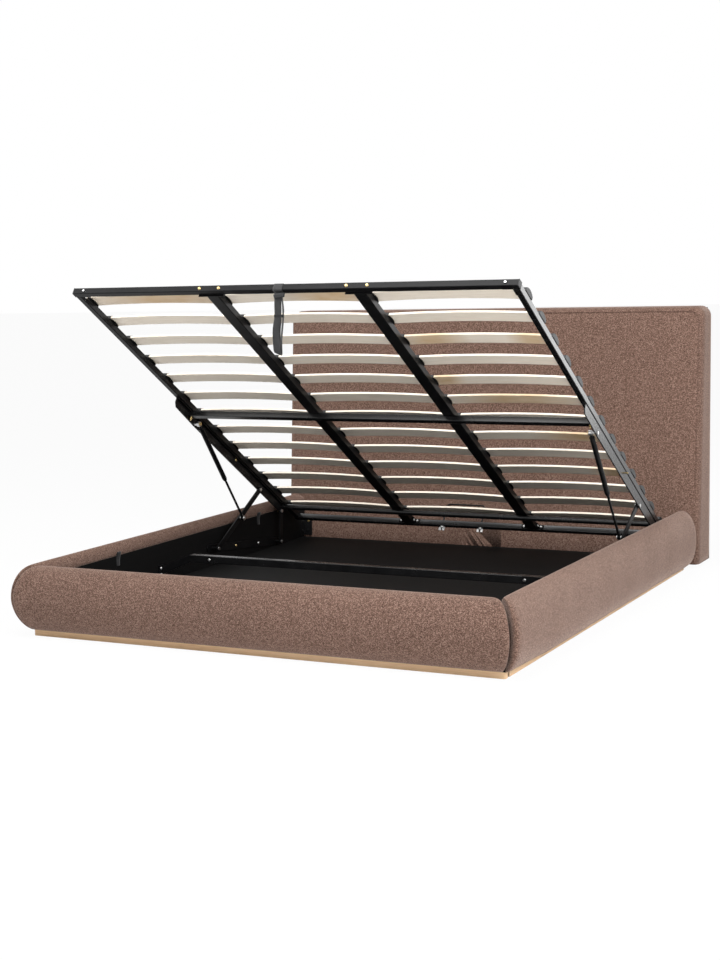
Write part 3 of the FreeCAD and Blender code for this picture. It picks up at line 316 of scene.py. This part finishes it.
def webbing():
    """Woven black strap."""
    m = Maker("black_webbing")
    rib = m.add("ShaderNodeTexWave", {"Vector": m.place, "Scale": 160.0, "Distortion": 1.5, "Detail": 2.0,
                                      "Detail Scale": 3.0}, bands_direction="X").outputs["Fac"]
    pick = m.add("ShaderNodeTexWave", {"Vector": m.place, "Scale": 120.0, "Distortion": 1.0, "Detail": 1.0},
                 bands_direction="Z").outputs["Fac"]
    weave = m.math("MULTIPLY", rib, pick)
    colour = m.ramp(weave, [(0.1, (0.010, 0.010, 0.0105)), (0.8, (0.034, 0.034, 0.036))])
    m.set(Base_Color=colour, Roughness=m.span(weave, 0.72, 0.9), Normal=m.bump(weave, 0.5, 0.0008))
    return m.set(Sheen_Weight=0.2, Sheen_Roughness=0.4)


def felt():
    """Grey felt with a fibrous nap."""
    m = Maker("felt")
    fibre = m.noise(700.0, 4.0, 0.7)
    colour = m.ramp(fibre, [(0.3, (0.08, 0.08, 0.08)), (0.7, (0.20, 0.20, 0.195))])
    return m.set(Base_Color=colour, Roughness=m.span(fibre, 0.9, 1.0), Normal=m.bump(fibre, 0.6, 0.0012))


CLOTH = boucle()
BOARD = black_board()
OAK = oak()
BIRCH = birch()
CASE = case_board()
LINING = lining()
PLASTIC = black_plastic()
STEEL = black_steel("black_steel", 0.12, 0.28)
# The same black powder coat again with more shine and less roughness, a lit copy for painted highlights; the
# real tubes all have one finish
HIGHLIGHT_STEEL = black_steel("satin_steel", 0.48, 0.2)
ZINC = plated("zinc", (0.50, 0.50, 0.50), (0.66, 0.66, 0.65), 0.24)
BRASS = plated("yellow_zinc", (0.46, 0.33, 0.14), (0.64, 0.49, 0.25), 0.26)
WEBBING = webbing()
FELT = felt()


# The solids' materials
def paint(material, *names):
    for name in names:
        mesh = nodes[name].data
        mesh.materials.clear()
        mesh.materials.append(material)


def touch_up(name, material, chosen):
    """Give a node's faces another material where chosen(centre) says so."""
    mesh = nodes[name].data
    mesh.materials.append(material)
    for face in mesh.polygons:
        if chosen(face.center):
            face.material_index = len(mesh.materials) - 1


paint(CLOTH, "headboard_cover", "foot_rail_bolster", "left_rail_bolster", "right_rail_bolster")
paint(BOARD, "foot_rail_board", "left_rail_board", "right_rail_board", "storage_floor_front",
      "storage_floor_rear", "floor_battens", "floor_joist")
paint(OAK, "foot_plinth", "left_plinth", "right_plinth")
paint(BIRCH, "slats_left", "slats_centre", "slats_right")
paint(CASE, "headboard_case")
paint(LINING, "headboard_back_panel")
paint(PLASTIC, "plinth_corner_blocks", "headboard_feet", "slat_holders", "lid_end_plugs", "strap_slider")
paint(STEEL, "cross_rail_brackets", "corner_brackets", "headboard_brackets", "left_lift_strip",
      "right_lift_strip", "lid_front_bar", "lid_left_rail", "lid_left_beam", "lid_right_beam", "left_lift_arm",
      "lid_clips", "lid_front_plates", "left_rear_link", "right_rear_link", "left_front_link",
      "right_front_link", "left_strut_cylinder", "right_strut_cylinder", "left_strut_rod", "right_strut_rod",
      "mattress_retainer")
# These pieces get the glossier copy of the black steel so they catch brighter highlights, though they are the
# same steel as the rest
paint(HIGHLIGHT_STEEL, "cross_rail", "lid_rear_bar", "lid_hinge_bar", "lid_mid_bar", "lid_right_rail", "right_lift_arm")
paint(ZINC, "frame_bolts", "lid_bolts", "lift_base_pins", "lid_pins", "retainer_nuts")
paint(WEBBING, "rail_loops", "strap_sleeve", "pull_strap")
paint(FELT, "joist_glides")

# Bolts and pins are yellow or plain zinc, some of them black.
# On the lid: yellow by the beams and on the mid bar, black but for their heads at the front bar's ends
touch_up("lid_bolts", BRASS, lambda p: lid_along(p) < 0.06 and abs(p.x) < 0.5 or 0.8 < lid_along(p) < 1.5)
touch_up("lid_bolts", STEEL, lambda p: -0.0032 < lid_along(p) < 0.03 and abs(p.x) > 0.5)
# The lift's pins: yellow outer and inner ends, black shoulders
touch_up("lid_pins", BRASS, lambda p: abs(p.x) > 0.8845 and lid_along(p) > 1.7 or abs(p.x) < 0.8535)
touch_up("lift_base_pins", BRASS, lambda p: abs(p.x) > 0.899)
touch_up("lift_base_pins", STEEL, lambda p: 0.8788 < abs(p.x) <= 0.899)
# On the frame: black at the headboard, yellow on its angles and on one bolt of each lift strip
touch_up("frame_bolts", STEEL, lambda p: p.y > HEAD_FRONT - 0.06)
touch_up("frame_bolts", BRASS,
         lambda p: abs(p.x) < 0.896 and p.z > 0.11 and p.y > 0.9 or abs(p.y - 0.32) < 0.05)
# Plain zinc at the struts' eyes
for side in ("left", "right"):
    touch_up(side + "_strut_rod", ZINC, lambda p: abs(p.x) < 0.8532)
    touch_up(side + "_front_link", ZINC, lambda p: abs(p.x) < 0.8715)
    eye = Vector(joints[side + "_strut_pivot"]["pos_m"])
    touch_up(side + "_strut_cylinder", ZINC, lambda p: math.hypot(p.y - eye.y, p.z - eye.z) < 0.0115)


# Mesh helpers
def new_piece(name, points, faces, material, smooth=True):
    mesh = bpy.data.meshes.new(name)
    mesh.from_pydata([tuple(p) for p in points], [], faces)
    mesh.update()
    mesh.materials.append(material)
    if smooth:
        mesh.polygons.foreach_set("use_smooth", [True] * len(mesh.polygons))
    made = bpy.data.objects.new(name, mesh)
    bpy.context.scene.collection.objects.link(made)
    return made


def loft(name, rows, material):
    """A closed skin over equal rings of points, capped at both ends."""
    count = len(rows[0])
    points = [p for row in rows for p in row]
    faces = []
    for r in range(len(rows) - 1):
        for c in range(count):
            d = (c + 1) % count
            faces.append((r * count + c, r * count + d, (r + 1) * count + d, (r + 1) * count + c))
    faces.append(tuple(reversed(range(count))))
    faces.append(tuple(range((len(rows) - 1) * count, len(rows) * count)))
    return new_piece(name, points, faces, material)


def arc(a, b, c, count):
    """Points on the circle through a, b and c, from a up to but not c."""
    (ax, ay), (bx, by), (cx, cy) = a, b, c
    aa, bb, cc = ax * ax + ay * ay, bx * bx + by * by, cx * cx + cy * cy
    d = 2 * (ax * (by - cy) + bx * (cy - ay) + cx * (ay - by))
    ux = (aa * (by - cy) + bb * (cy - ay) + cc * (ay - by)) / d
    uy = (aa * (cx - bx) + bb * (ax - cx) + cc * (bx - ax)) / d
    radius = math.hypot(ax - ux, ay - uy)
    start = math.atan2(ay - uy, ax - ux)
    mid = (math.atan2(by - uy, bx - ux) - start + math.pi) % (2 * math.pi) - math.pi
    end = (math.atan2(cy - uy, cx - ux) - start) % (2 * math.pi)
    if mid < 0:
        end -= 2 * math.pi
    return [(ux + radius * math.cos(start + end * i / count), uy + radius * math.sin(start + end * i / count))
            for i in range(count)]


def pad_piece(piece, node):
    """Say that a padded piece stands for a node of the frame."""
    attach(piece, "base")
    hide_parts(node)


# Padded rails: distances outside the board, and heights
BULGE = 0.068
CREST = -0.006  # the profile's top
INNER_FACE = -0.0246  # its face inside the board
BOLSTER_LOW = 0.0224
BOLSTER_WIDE = 0.142  # where it stands out most
INNER_EDGE = 0.222  # lower end of its inner arc
INNER_ARC = (0.735, 0.56)  # a point on that arc, as shares of its width and height
FOOT_TOP = 0.2635
SIDE_TOP_FRONT = 0.2655
SIDE_TOP_REAR = 0.2595
FOOT_BELLY = 1.75  # fullness of the lower half
SIDE_BELLY = 2.6
BELLY_REACH = 0.3  # from the corner to where a side's belly is full
QUARTER = np.linspace(0, math.pi / 2, 17)[:-1]
ARC_STEPS = 8

# Their sewn ends
END_STEPS = 22
END_CROWDING = 1.9
SHOULDER_POWER = 2.4
SEAM_GAP = 0.0006
MITRE_REACH = 0.120
TURN_START = 0.03  # share of the mitre's reach before the rows turn square
FOOT_SEAM = {"seam_bulge": 0.044, "reach": 0.032, "top": FOOT_TOP, "drop": 0.009}
FOOT_END_INSET = 0.014
SIDE_SEAM = {"seam_bulge": 0.040, "reach": 0.045, "top": SIDE_TOP_FRONT, "drop": 0.003}
SIDE_END_INSET = 0.001
SIDE_START = 0.1166  # where a side's plain run starts, from the foot board
SIDE_RUN = 1.82
HEAD_END_REACH = 0.090
HEAD_END_SHOULDER = 0.088
HEAD_END_BULGE = 0.008
HEAD_END_DROP = 0.023
FOOT_ROWS = 64
SIDE_ROWS = 66
PADDING_START = 0.02  # the padding is uneven further out than this
# Each row: a wave's height, its radians per metre along and up, and its start
PADDING_WAVES = ((0.0009, 9.1, 14.0, 0.0), (0.0006, 23.7, -9.0, 1.3))


def bolster_outline(bulge, top, belly=FOOT_BELLY):
    """The D-shaped profile as (distance outside the board, height); belly says how full its lower half is."""
    power = 2 / belly
    points = [(SOFT_GAP + (bulge - SOFT_GAP) * math.sin(a) ** power,
               BOLSTER_WIDE - (BOLSTER_WIDE - BOLSTER_LOW) * math.cos(a) ** power) for a in QUARTER]
    points += [(CREST + math.cos(a) * (bulge - CREST), BOLSTER_WIDE + math.sin(a) * (top - BOLSTER_WIDE))
               for a in QUARTER]
    on_arc = (CREST + INNER_ARC[0] * (INNER_FACE - CREST), INNER_EDGE + INNER_ARC[1] * (top - INNER_EDGE))
    points += arc((CREST, top), on_arc, (INNER_FACE, INNER_EDGE), ARC_STEPS)
    seat = BOARD_TOP + SOFT_GAP
    points += [(INNER_FACE, INNER_EDGE), (INNER_FACE, seat), ((INNER_FACE + SOFT_GAP) / 2, seat)]
    return points + [(SOFT_GAP, seat + (BOLSTER_LOW - seat) * i / ARC_STEPS) for i in range(ARC_STEPS)]


def end_inset(step, reach):
    """Distance of a row from a sewn end; the rows crowd towards it."""
    return reach * (step / END_STEPS) ** END_CROWDING


def shoulder(inset, reach):
    """How far a profile has swollen at this distance from a sewn end, from 0 to 1."""
    share = min(1.0, max(0.0, inset / reach))
    return (1 - (1 - share) ** SHOULDER_POWER) ** (1 / SHOULDER_POWER)


def uneven(out, along, z):
    """The slight unevenness of the padding on its outer side."""
    if out <= PADDING_START:
        return 0.0
    return sum(height * math.sin(run * along + rise * z + start) for height, run, rise, start in PADDING_WAVES)


def side_belly(inset):
    """A side's fullness at this distance from the corner."""
    return FOOT_BELLY + (SIDE_BELLY - FOOT_BELLY) * min(1.0, inset / BELLY_REACH)


def mitre_rows(seam_bulge, reach, top, drop):
    """Distance from the mitre, turn towards it, bulge and height, from the seam to the full profile."""
    rows = []
    for step in range(END_STEPS + 1):
        inset = end_inset(step, MITRE_REACH)
        swell = shoulder(inset, reach)
        share = min(1.0, max(0.0, (inset / MITRE_REACH - TURN_START) / (1 - TURN_START)))
        turn = 0.5 * (1 + math.cos(math.pi * share))
        bulge = seam_bulge + swell * (BULGE - seam_bulge)
        rows.append((inset + SEAM_GAP, turn, bulge, top - (1 - swell) * drop))
    return rows


def foot_bolster():
    end = [[(BOARD_HALF + turn * out - inset - FOOT_END_INSET, FOOT_OUTER - out, z)
            for out, z in bolster_outline(bulge, top)] for inset, turn, bulge, top in mitre_rows(**FOOT_SEAM)]
    full = bolster_outline(BULGE, FOOT_TOP)
    reach = BOARD_HALF - MITRE_REACH - FOOT_END_INSET
    plain = [[(x, FOOT_OUTER - out - uneven(out, x, z), z) for out, z in full]
             for x in np.linspace(reach, -reach, FOOT_ROWS)[1:-1]]
    other_end = [[(-x, y, z) for x, y, z in row] for row in reversed(end)]
    return loft("foot_bolster", end + plain + other_end, CLOTH)


def side_bolster(name, side):
    rows = []
    for inset, turn, bulge, top in mitre_rows(**SIDE_SEAM):
        rows.append([(side * (BOARD_HALF + out), FOOT_OUTER - turn * out + inset + SIDE_END_INSET, z)
                     for out, z in bolster_outline(bulge, top, side_belly(inset))])
    for share in np.linspace(0, 1, SIDE_ROWS)[1:-1]:
        row = []
        top = (1 - share) * SIDE_TOP_FRONT + share * SIDE_TOP_REAR
        for out, z in bolster_outline(BULGE, top, side_belly(MITRE_REACH + share * SIDE_RUN)):
            rear = head_front(z) - HEAD_END_REACH - SEAM_GAP
            y = (1 - share) * (FOOT_OUTER + SIDE_START) + share * rear
            row.append((side * (BOARD_HALF + out + uneven(out, y, z)), y, z))
        rows.append(row)
    for step in range(END_STEPS, -1, -1):
        inset = end_inset(step, HEAD_END_REACH)
        swell = shoulder(inset, HEAD_END_SHOULDER)
        bulge = HEAD_END_BULGE + (BULGE - HEAD_END_BULGE) * swell
        top = SIDE_TOP_REAR - HEAD_END_DROP * (1 - swell)
        rows.append([(side * (BOARD_HALF + out), head_front(z) - inset - SEAM_GAP, z)
                     for out, z in bolster_outline(bulge, top, SIDE_BELLY)])
    if side < 0:
        rows.reverse()
    return loft(name, rows, CLOTH)


pad_piece(foot_bolster(), "foot_rail_bolster")
pad_piece(side_bolster("right_bolster", 1), "right_rail_bolster")
pad_piece(side_bolster("left_bolster", -1), "left_rail_bolster")

# Padded headboard
HEAD_HALF, HEAD_LOW, HEAD_TOP, HEAD_RADIUS = 0.996, 0.024, 1.115, 0.044
HEAD_SIDE_STEPS, HEAD_TOP_STEPS, HEAD_EDGE_RINGS = 40, 70, 7
EIGHTHS = np.linspace(0, math.pi / 2, 9)[1:]
BACK_INSET = 0.004  # from the back face to the cover's rear edge
RIM_INSET, RIM_DEPTH = 0.020, 0.0336  # the roll round the front
FACE_INSETS = (0.0215, 0.024, 0.0275, 0.034, 0.05, 0.08, 0.12, 0.18, 0.26, 0.36, 0.48, 0.6, 0.75, 0.9)
CROWN, CROWN_REACH = 0.005, 0.05
CROWN_LOW, CROWN_FADE = 0.24, 0.15  # the face is flat up to the bolsters' tops
GROOVE_DEPTH, GROOVE_INSET, GROOVE_WIDTH = 0.0038, 0.0245, 0.006  # the seam inside the rim


def headboard_ring(inset, y_at):
    """The headboard's outline, this far inside its edge, at the y that y_at gives for a height."""
    half, low, top, radius = HEAD_HALF - inset, HEAD_LOW, HEAD_TOP - inset, HEAD_RADIUS
    upright, level = top - radius - low, 2 * half - 2 * radius
    outline = [(-half, low + upright * i / HEAD_SIDE_STEPS) for i in range(HEAD_SIDE_STEPS + 1)]
    outline += [(-half + radius - radius * math.cos(a), top - radius + radius * math.sin(a)) for a in EIGHTHS]
    outline += [(-half + radius + level * i / HEAD_TOP_STEPS, top) for i in range(1, HEAD_TOP_STEPS + 1)]
    outline += [(half - radius + radius * math.sin(a), top - radius + radius * math.cos(a)) for a in EIGHTHS]
    outline += [(half, top - radius - upright * i / HEAD_SIDE_STEPS) for i in range(1, HEAD_SIDE_STEPS + 1)]
    outline += [(half - 2 * half * i / HEAD_TOP_STEPS, low) for i in range(1, HEAD_TOP_STEPS)]
    return [(x, y_at(z), z) for x, z in outline]


def headboard_skin():
    rings = []
    for s in np.linspace(0, 1, HEAD_EDGE_RINGS):
        rings.append(headboard_ring(0, lambda z: (head_back(z) - BACK_INSET) * (1 - s)
                                    + (head_front(z) + SOFT_GAP + RIM_DEPTH) * s))
    for a in EIGHTHS:
        rings.append(headboard_ring(RIM_INSET * (1 - math.cos(a)),
                                    lambda z: head_front(z) + SOFT_GAP + RIM_DEPTH * (1 - math.sin(a))))
    for inset in FACE_INSETS:
        crown = CROWN * (1 - math.exp(-(inset - RIM_INSET) / CROWN_REACH))
        crown -= GROOVE_DEPTH * math.exp(-((inset - GROOVE_INSET) / GROOVE_WIDTH) ** 2)
        rings.append(headboard_ring(inset, lambda z: head_front(z) + SOFT_GAP
                                    - crown * min(1.0, max(0.0, (z - CROWN_LOW) / CROWN_FADE))))
    return loft("headboard_skin", rings, CLOTH)


pad_piece(headboard_skin(), "headboard_cover")

# Webbing
WEB_COLUMNS = 5
WEB_EDGE = 0.7  # thickness left at a strap's edges
WEB_THICKNESS = 0.0016
ALONG_X, ALONG_Y = (1.0, 0.0, 0.0), (0.0, 1.0, 0.0)
STRAP_X = -0.012
STRAP_TOP = Vector(joints["strap_swing"]["pos_m"])


def smooth_path(stations, steps):
    """More stations on a smooth curve through the given ones, each a point and a width direction in a row."""
    rows = np.array([[*point, *across] for point, across in stations], float)
    padded_rows = np.vstack([2 * rows[0] - rows[1], rows, 2 * rows[-1] - rows[-2]])
    made = []
    for i in range(len(rows) - 1):
        a, b, c, d = padded_rows[i:i + 4]
        for t in np.arange(steps) / steps:
            made.append(0.5 * (2 * b + (c - a) * t + (2 * a - 5 * b + 4 * c - d) * t * t
                               + (3 * b - a - 3 * c + d) * t ** 3))
    made.append(rows[-1])
    return made


def ribbon(name, path, width, thickness, closed=False):
    """A strap of webbing along a path of points and width directions."""
    points, faces, count = [], [], len(path)
    for i, row in enumerate(path):
        before = path[(i - 1) % count if closed else max(i - 1, 0)]
        after = path[(i + 1) % count if closed else min(i + 1, count - 1)]
        run, across = Vector(after[:3] - before[:3]).normalized(), Vector(row[3:]).normalized()
        out = across.cross(run).normalized()
        for side in (0.5, -0.5):
            for c in range(WEB_COLUMNS):
                share = (c / (WEB_COLUMNS - 1) - 0.5) * (1 if side > 0 else -1)
                edge = WEB_EDGE if c in (0, WEB_COLUMNS - 1) else 1.0
                points.append(Vector(row[:3]) + across * (share * width) + out * (side * thickness * edge))
    ring = 2 * WEB_COLUMNS
    for i in range(count if closed else count - 1):
        j = (i + 1) % count
        for c in range(ring):
            d = (c + 1) % ring
            faces.append((i * ring + c, j * ring + c, j * ring + d, i * ring + d))
    if not closed:
        faces.append(tuple(range(ring)))
        faces.append(tuple(reversed(range((count - 1) * ring, count * ring))))
    return new_piece(name, points, faces, WEBBING)


def web_piece(piece, body, node):
    """Say that a strap of webbing stands for a node."""
    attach(piece, body)
    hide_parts(node)


def strap_band():
    """The band of webbing round the front bar."""
    gap, radius, width, corner_steps = 0.0011, 0.0035, 0.036, 4
    low, high = -gap, BAR_SIZE + gap
    path = []
    for quarter, (u, n) in enumerate(((low, low), (low, high), (high, high), (high, low))):
        middle_u, middle_n = u + (radius if u < 0 else -radius), n + (radius if n < 0 else -radius)
        for step in range(corner_steps + 1):
            a = -math.pi / 2 * (quarter + 1 + step / corner_steps)
            place = lid_place(STRAP_X, middle_u + radius * math.cos(a), middle_n + radius * math.sin(a))
            path.append(np.array([*place, *ALONG_X]))
    made = ribbon("strap_band", path, width, WEB_THICKNESS, True)
    web_piece(made, "lid", "strap_sleeve")


def strap_tie():
    """The tie that pulls the band together under the bar."""
    half_x, half_y, shift, below = 0.0215, 0.0082, 0.003, 0.010
    tilt, flare, width, steps = 0.0030, 0.3, 0.015, 16
    path = []
    for step in range(steps):
        a = 2 * math.pi * step / steps
        path.append(np.array([STRAP_X + half_x * math.cos(a) + shift, STRAP_TOP.y + half_y * math.sin(a),
                              STRAP_TOP.z - below + tilt * math.cos(a), flare * math.cos(a), 0.0, 1.0]))
    made = ribbon("strap_tie", path, width, WEB_THICKNESS, True)
    web_piece(made, "lid", "strap_sleeve")


def pull_strap():
    """The hanging strap: down in front, a twisted fold at the bottom, and up again on edge."""
    edge = (0.65, -0.76, 0.0)
    # Each row: a place below the bar, and the direction of the width there
    stations = [((-0.012, -0.0030, 0.000), ALONG_X), ((-0.0135, -0.0036, -0.040), ALONG_X),
                ((-0.0145, -0.0040, -0.082), ALONG_X), ((-0.021, -0.0045, -0.130), (0.85, 0.45, 0.0)),
                ((-0.0235, -0.0040, -0.180), (1.0, 0.0, -0.05)),
                ((-0.0225, -0.0030, -0.206), (0.98, -0.05, -0.2)),
                ((-0.0185, 0.0015, -0.2150), (0.95, -0.15, -0.3)),
                ((-0.0135, 0.0045, -0.203), (0.8, -0.5, -0.2)),
                ((-0.0100, 0.0045, -0.175), (0.7, -0.7, 0.0)), ((-0.0050, 0.0040, -0.140), edge),
                ((0.0005, 0.0035, -0.100), edge), ((0.0035, 0.0030, -0.060), edge),
                ((0.001, 0.0025, -0.025), edge), ((-0.006, 0.0020, 0.000), (0.9, -0.4, 0.0))]
    placed = [((p[0], STRAP_TOP.y + p[1], STRAP_TOP.z + p[2]), across) for p, across in stations]
    path = smooth_path(placed, 6)
    width = 0.0285
    made = ribbon("strap_loop", path, width, WEB_THICKNESS)
    web_piece(made, "pull_strap", "pull_strap")


def rail_loop(name, side, y):
    """A small loop of webbing tacked to the inside of a side board, standing over its top."""
    width, thickness, lean, lean_height, off_face = 0.020, 0.0013, 0.03, 0.2, 0.0009
    face = INNER_HALF - off_face
    # Each row: distance inside the board, and height
    profile = [(0.0, 0.176), (0.0, 0.200), (0.0006, 0.216), (0.0030, 0.2265), (0.0062, 0.2300),
               (0.0092, 0.2262), (0.0066, 0.216), (0.0030, 0.203), (0.0019, 0.190), (0.0019, 0.174)]
    placed = [((side * (face - inside), y + lean * (z - lean_height), z), ALONG_Y) for inside, z in profile]
    path = smooth_path(placed, 4)
    web_piece(ribbon(name, path, width, thickness), "base", "rail_loops")


strap_band()
strap_tie()
pull_strap()
for side, word in ((-1, "left"), (1, "right")):
    for share, end in ((0.243, "front"), (0.789, "rear")):
        rail_loop("rail_loop_" + word + "_" + end, side, FOOT_INNER + share * INNER_LENGTH)

# Felt under the floor's joist
GLIDE_HALF_X, GLIDE_HALF_Y, GLIDE_RADIUS = 0.020, 0.025, 0.004
GLIDE_CORNER_STEPS = 5
# Each row: height, and how far the rim stands out there
GLIDE_RIM = ((0.0002, -0.0010), (0.0008, 0.0), (0.0022, 0.0002), (0.0028, -0.0006))


def felt_glide(name, y):
    """A felt pad with rounded corners and a softened rim."""
    rows = []
    for z, grow in GLIDE_RIM:
        middle_x, middle_y = GLIDE_HALF_X + grow - GLIDE_RADIUS, GLIDE_HALF_Y + grow - GLIDE_RADIUS
        ring = []
        for quarter, (side_x, side_y) in enumerate(((1, 1), (-1, 1), (-1, -1), (1, -1))):
            for step in range(GLIDE_CORNER_STEPS + 1):
                a = math.pi / 2 * (quarter + step / GLIDE_CORNER_STEPS)
                ring.append((side_x * middle_x + GLIDE_RADIUS * math.cos(a),
                             y + side_y * middle_y + GLIDE_RADIUS * math.sin(a), z))
        rows.append(ring)
    pad_piece(loft(name, rows, FELT), "joist_glides")


low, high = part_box("joist_glides")
for count, y in enumerate((low.y + GLIDE_HALF_Y, (low.y + high.y) / 2, high.y - GLIDE_HALF_Y)):
    felt_glide("felt_glide_" + str(count + 1), y)

# Camera, at the photograph's viewing angle
CAMERA_PLACE = (2.917, -5.9794, 1.326)
CAMERA_YAW, CAMERA_PITCH, CAMERA_ROLL = math.radians(26.95), math.radians(7.28), math.radians(-1.51)
CAMERA_LENS = 63.11
CAMERA_SENSOR = 36.0


def make_camera():
    yaw, pitch, roll = CAMERA_YAW, CAMERA_PITCH, CAMERA_ROLL
    forward = Vector((-math.sin(yaw) * math.cos(pitch), math.cos(yaw) * math.cos(pitch), -math.sin(pitch)))
    level = Vector((math.cos(yaw), math.sin(yaw), 0.0))
    upright = level.cross(forward)
    right = math.cos(roll) * level + math.sin(roll) * upright
    up = -math.sin(roll) * level + math.cos(roll) * upright
    data = bpy.data.cameras.new("camera")
    data.sensor_width = CAMERA_SENSOR
    data.lens = CAMERA_LENS
    camera = bpy.data.objects.new("camera", data)
    bpy.context.scene.collection.objects.link(camera)
    turn = Matrix((right, up, -forward)).transposed().to_4x4()
    camera.matrix_world = Matrix.Translation(CAMERA_PLACE) @ turn
    bpy.context.scene.camera = camera


# Studio: a white background that adds little light, a pale floor and soft lamps
WORLD_LIGHT = 0.04
FLOOR_HALF = 40.0
FLOOR_COLOUR = (0.90, 0.90, 0.90, 1.0)
FLOOR_ROUGHNESS = 0.9
FLOOR_GLOW = 0.955  # share of plain white in what is seen of the floor; the rest keeps the shadow
# Each row: name, place, target, size and power
LAMPS = (("key", (4.9, -2.4, 3.3), (0.2, 0.0, 0.4), (3.4, 3.0), 310.0),
         ("low", (0.6, -6.0, 0.9), (0.0, 0.0, 0.6), (4.0, 1.2), 44.0),
         ("top", (0.0, -2.0, 4.6), (0.0, -0.3, 0.3), (3.5, 3.5), 250.0),
         ("left", (-3.4, -1.6, 4.2), (0.0, 0.6, 0.3), (2.4, 2.4), 40.0),
         ("rim", (3.6, 5.4, 1.2), (0.9, -0.2, 0.8), (2.4, 2.0), 60.0))


def seen_white(tree):
    """One where the camera, a reflection or a clear surface looks at the surface, and zero for other light."""
    path = tree.nodes.new("ShaderNodeLightPath")
    seen = path.outputs["Is Camera Ray"]
    for ray in ("Is Glossy Ray", "Is Transmission Ray"):
        larger = tree.nodes.new("ShaderNodeMath")
        larger.operation = "MAXIMUM"
        tree.links.new(seen, larger.inputs[0])
        tree.links.new(path.outputs[ray], larger.inputs[1])
        seen = larger.outputs[0]
    return seen


def make_world():
    world = bpy.data.worlds.new("studio")
    world.use_nodes = True
    bpy.context.scene.world = world
    tree = world.node_tree
    back = tree.nodes["Background"]
    back.inputs["Color"].default_value = (1.0, 1.0, 1.0, 1.0)
    strength = tree.nodes.new("ShaderNodeMapRange")
    strength.inputs["To Min"].default_value = WORLD_LIGHT
    strength.inputs["To Max"].default_value = 1.0
    tree.links.new(seen_white(tree), strength.inputs["Value"])
    tree.links.new(strength.outputs[0], back.inputs["Strength"])


def make_floor():
    material = bpy.data.materials.new("floor")
    material.use_nodes = True
    tree = material.node_tree
    shader = tree.nodes["Principled BSDF"]
    shader.inputs["Base Color"].default_value = FLOOR_COLOUR
    shader.inputs["Roughness"].default_value = FLOOR_ROUGHNESS
    glow = tree.nodes.new("ShaderNodeEmission")
    glow.inputs["Strength"].default_value = 1.0
    share = tree.nodes.new("ShaderNodeMath")
    share.operation = "MULTIPLY"
    share.inputs[1].default_value = FLOOR_GLOW
    tree.links.new(seen_white(tree), share.inputs[0])
    mix = tree.nodes.new("ShaderNodeMixShader")
    tree.links.new(share.outputs[0], mix.inputs[0])
    tree.links.new(shader.outputs[0], mix.inputs[1])
    tree.links.new(glow.outputs[0], mix.inputs[2])
    tree.links.new(mix.outputs[0], tree.nodes["Material Output"].inputs["Surface"])
    corners = [(x * FLOOR_HALF, y * FLOOR_HALF, 0) for x, y in ((-1, -1), (1, -1), (1, 1), (-1, 1))]
    new_piece("floor", corners, [(0, 1, 2, 3)], material, False)


def make_lamp(name, place, target, size, power):
    data = bpy.data.lights.new(name, "AREA")
    data.shape = "RECTANGLE"
    data.size, data.size_y = size
    data.energy = power
    lamp = bpy.data.objects.new(name, data)
    bpy.context.scene.collection.objects.link(lamp)
    lamp.location = place
    lamp.rotation_euler = (Vector(target) - Vector(place)).to_track_quat("-Z", "Y").to_euler()


make_camera()
make_world()
make_floor()
for lamp in LAMPS:
    make_lamp(*lamp)

bpy.context.scene.view_settings.view_transform = "Standard"
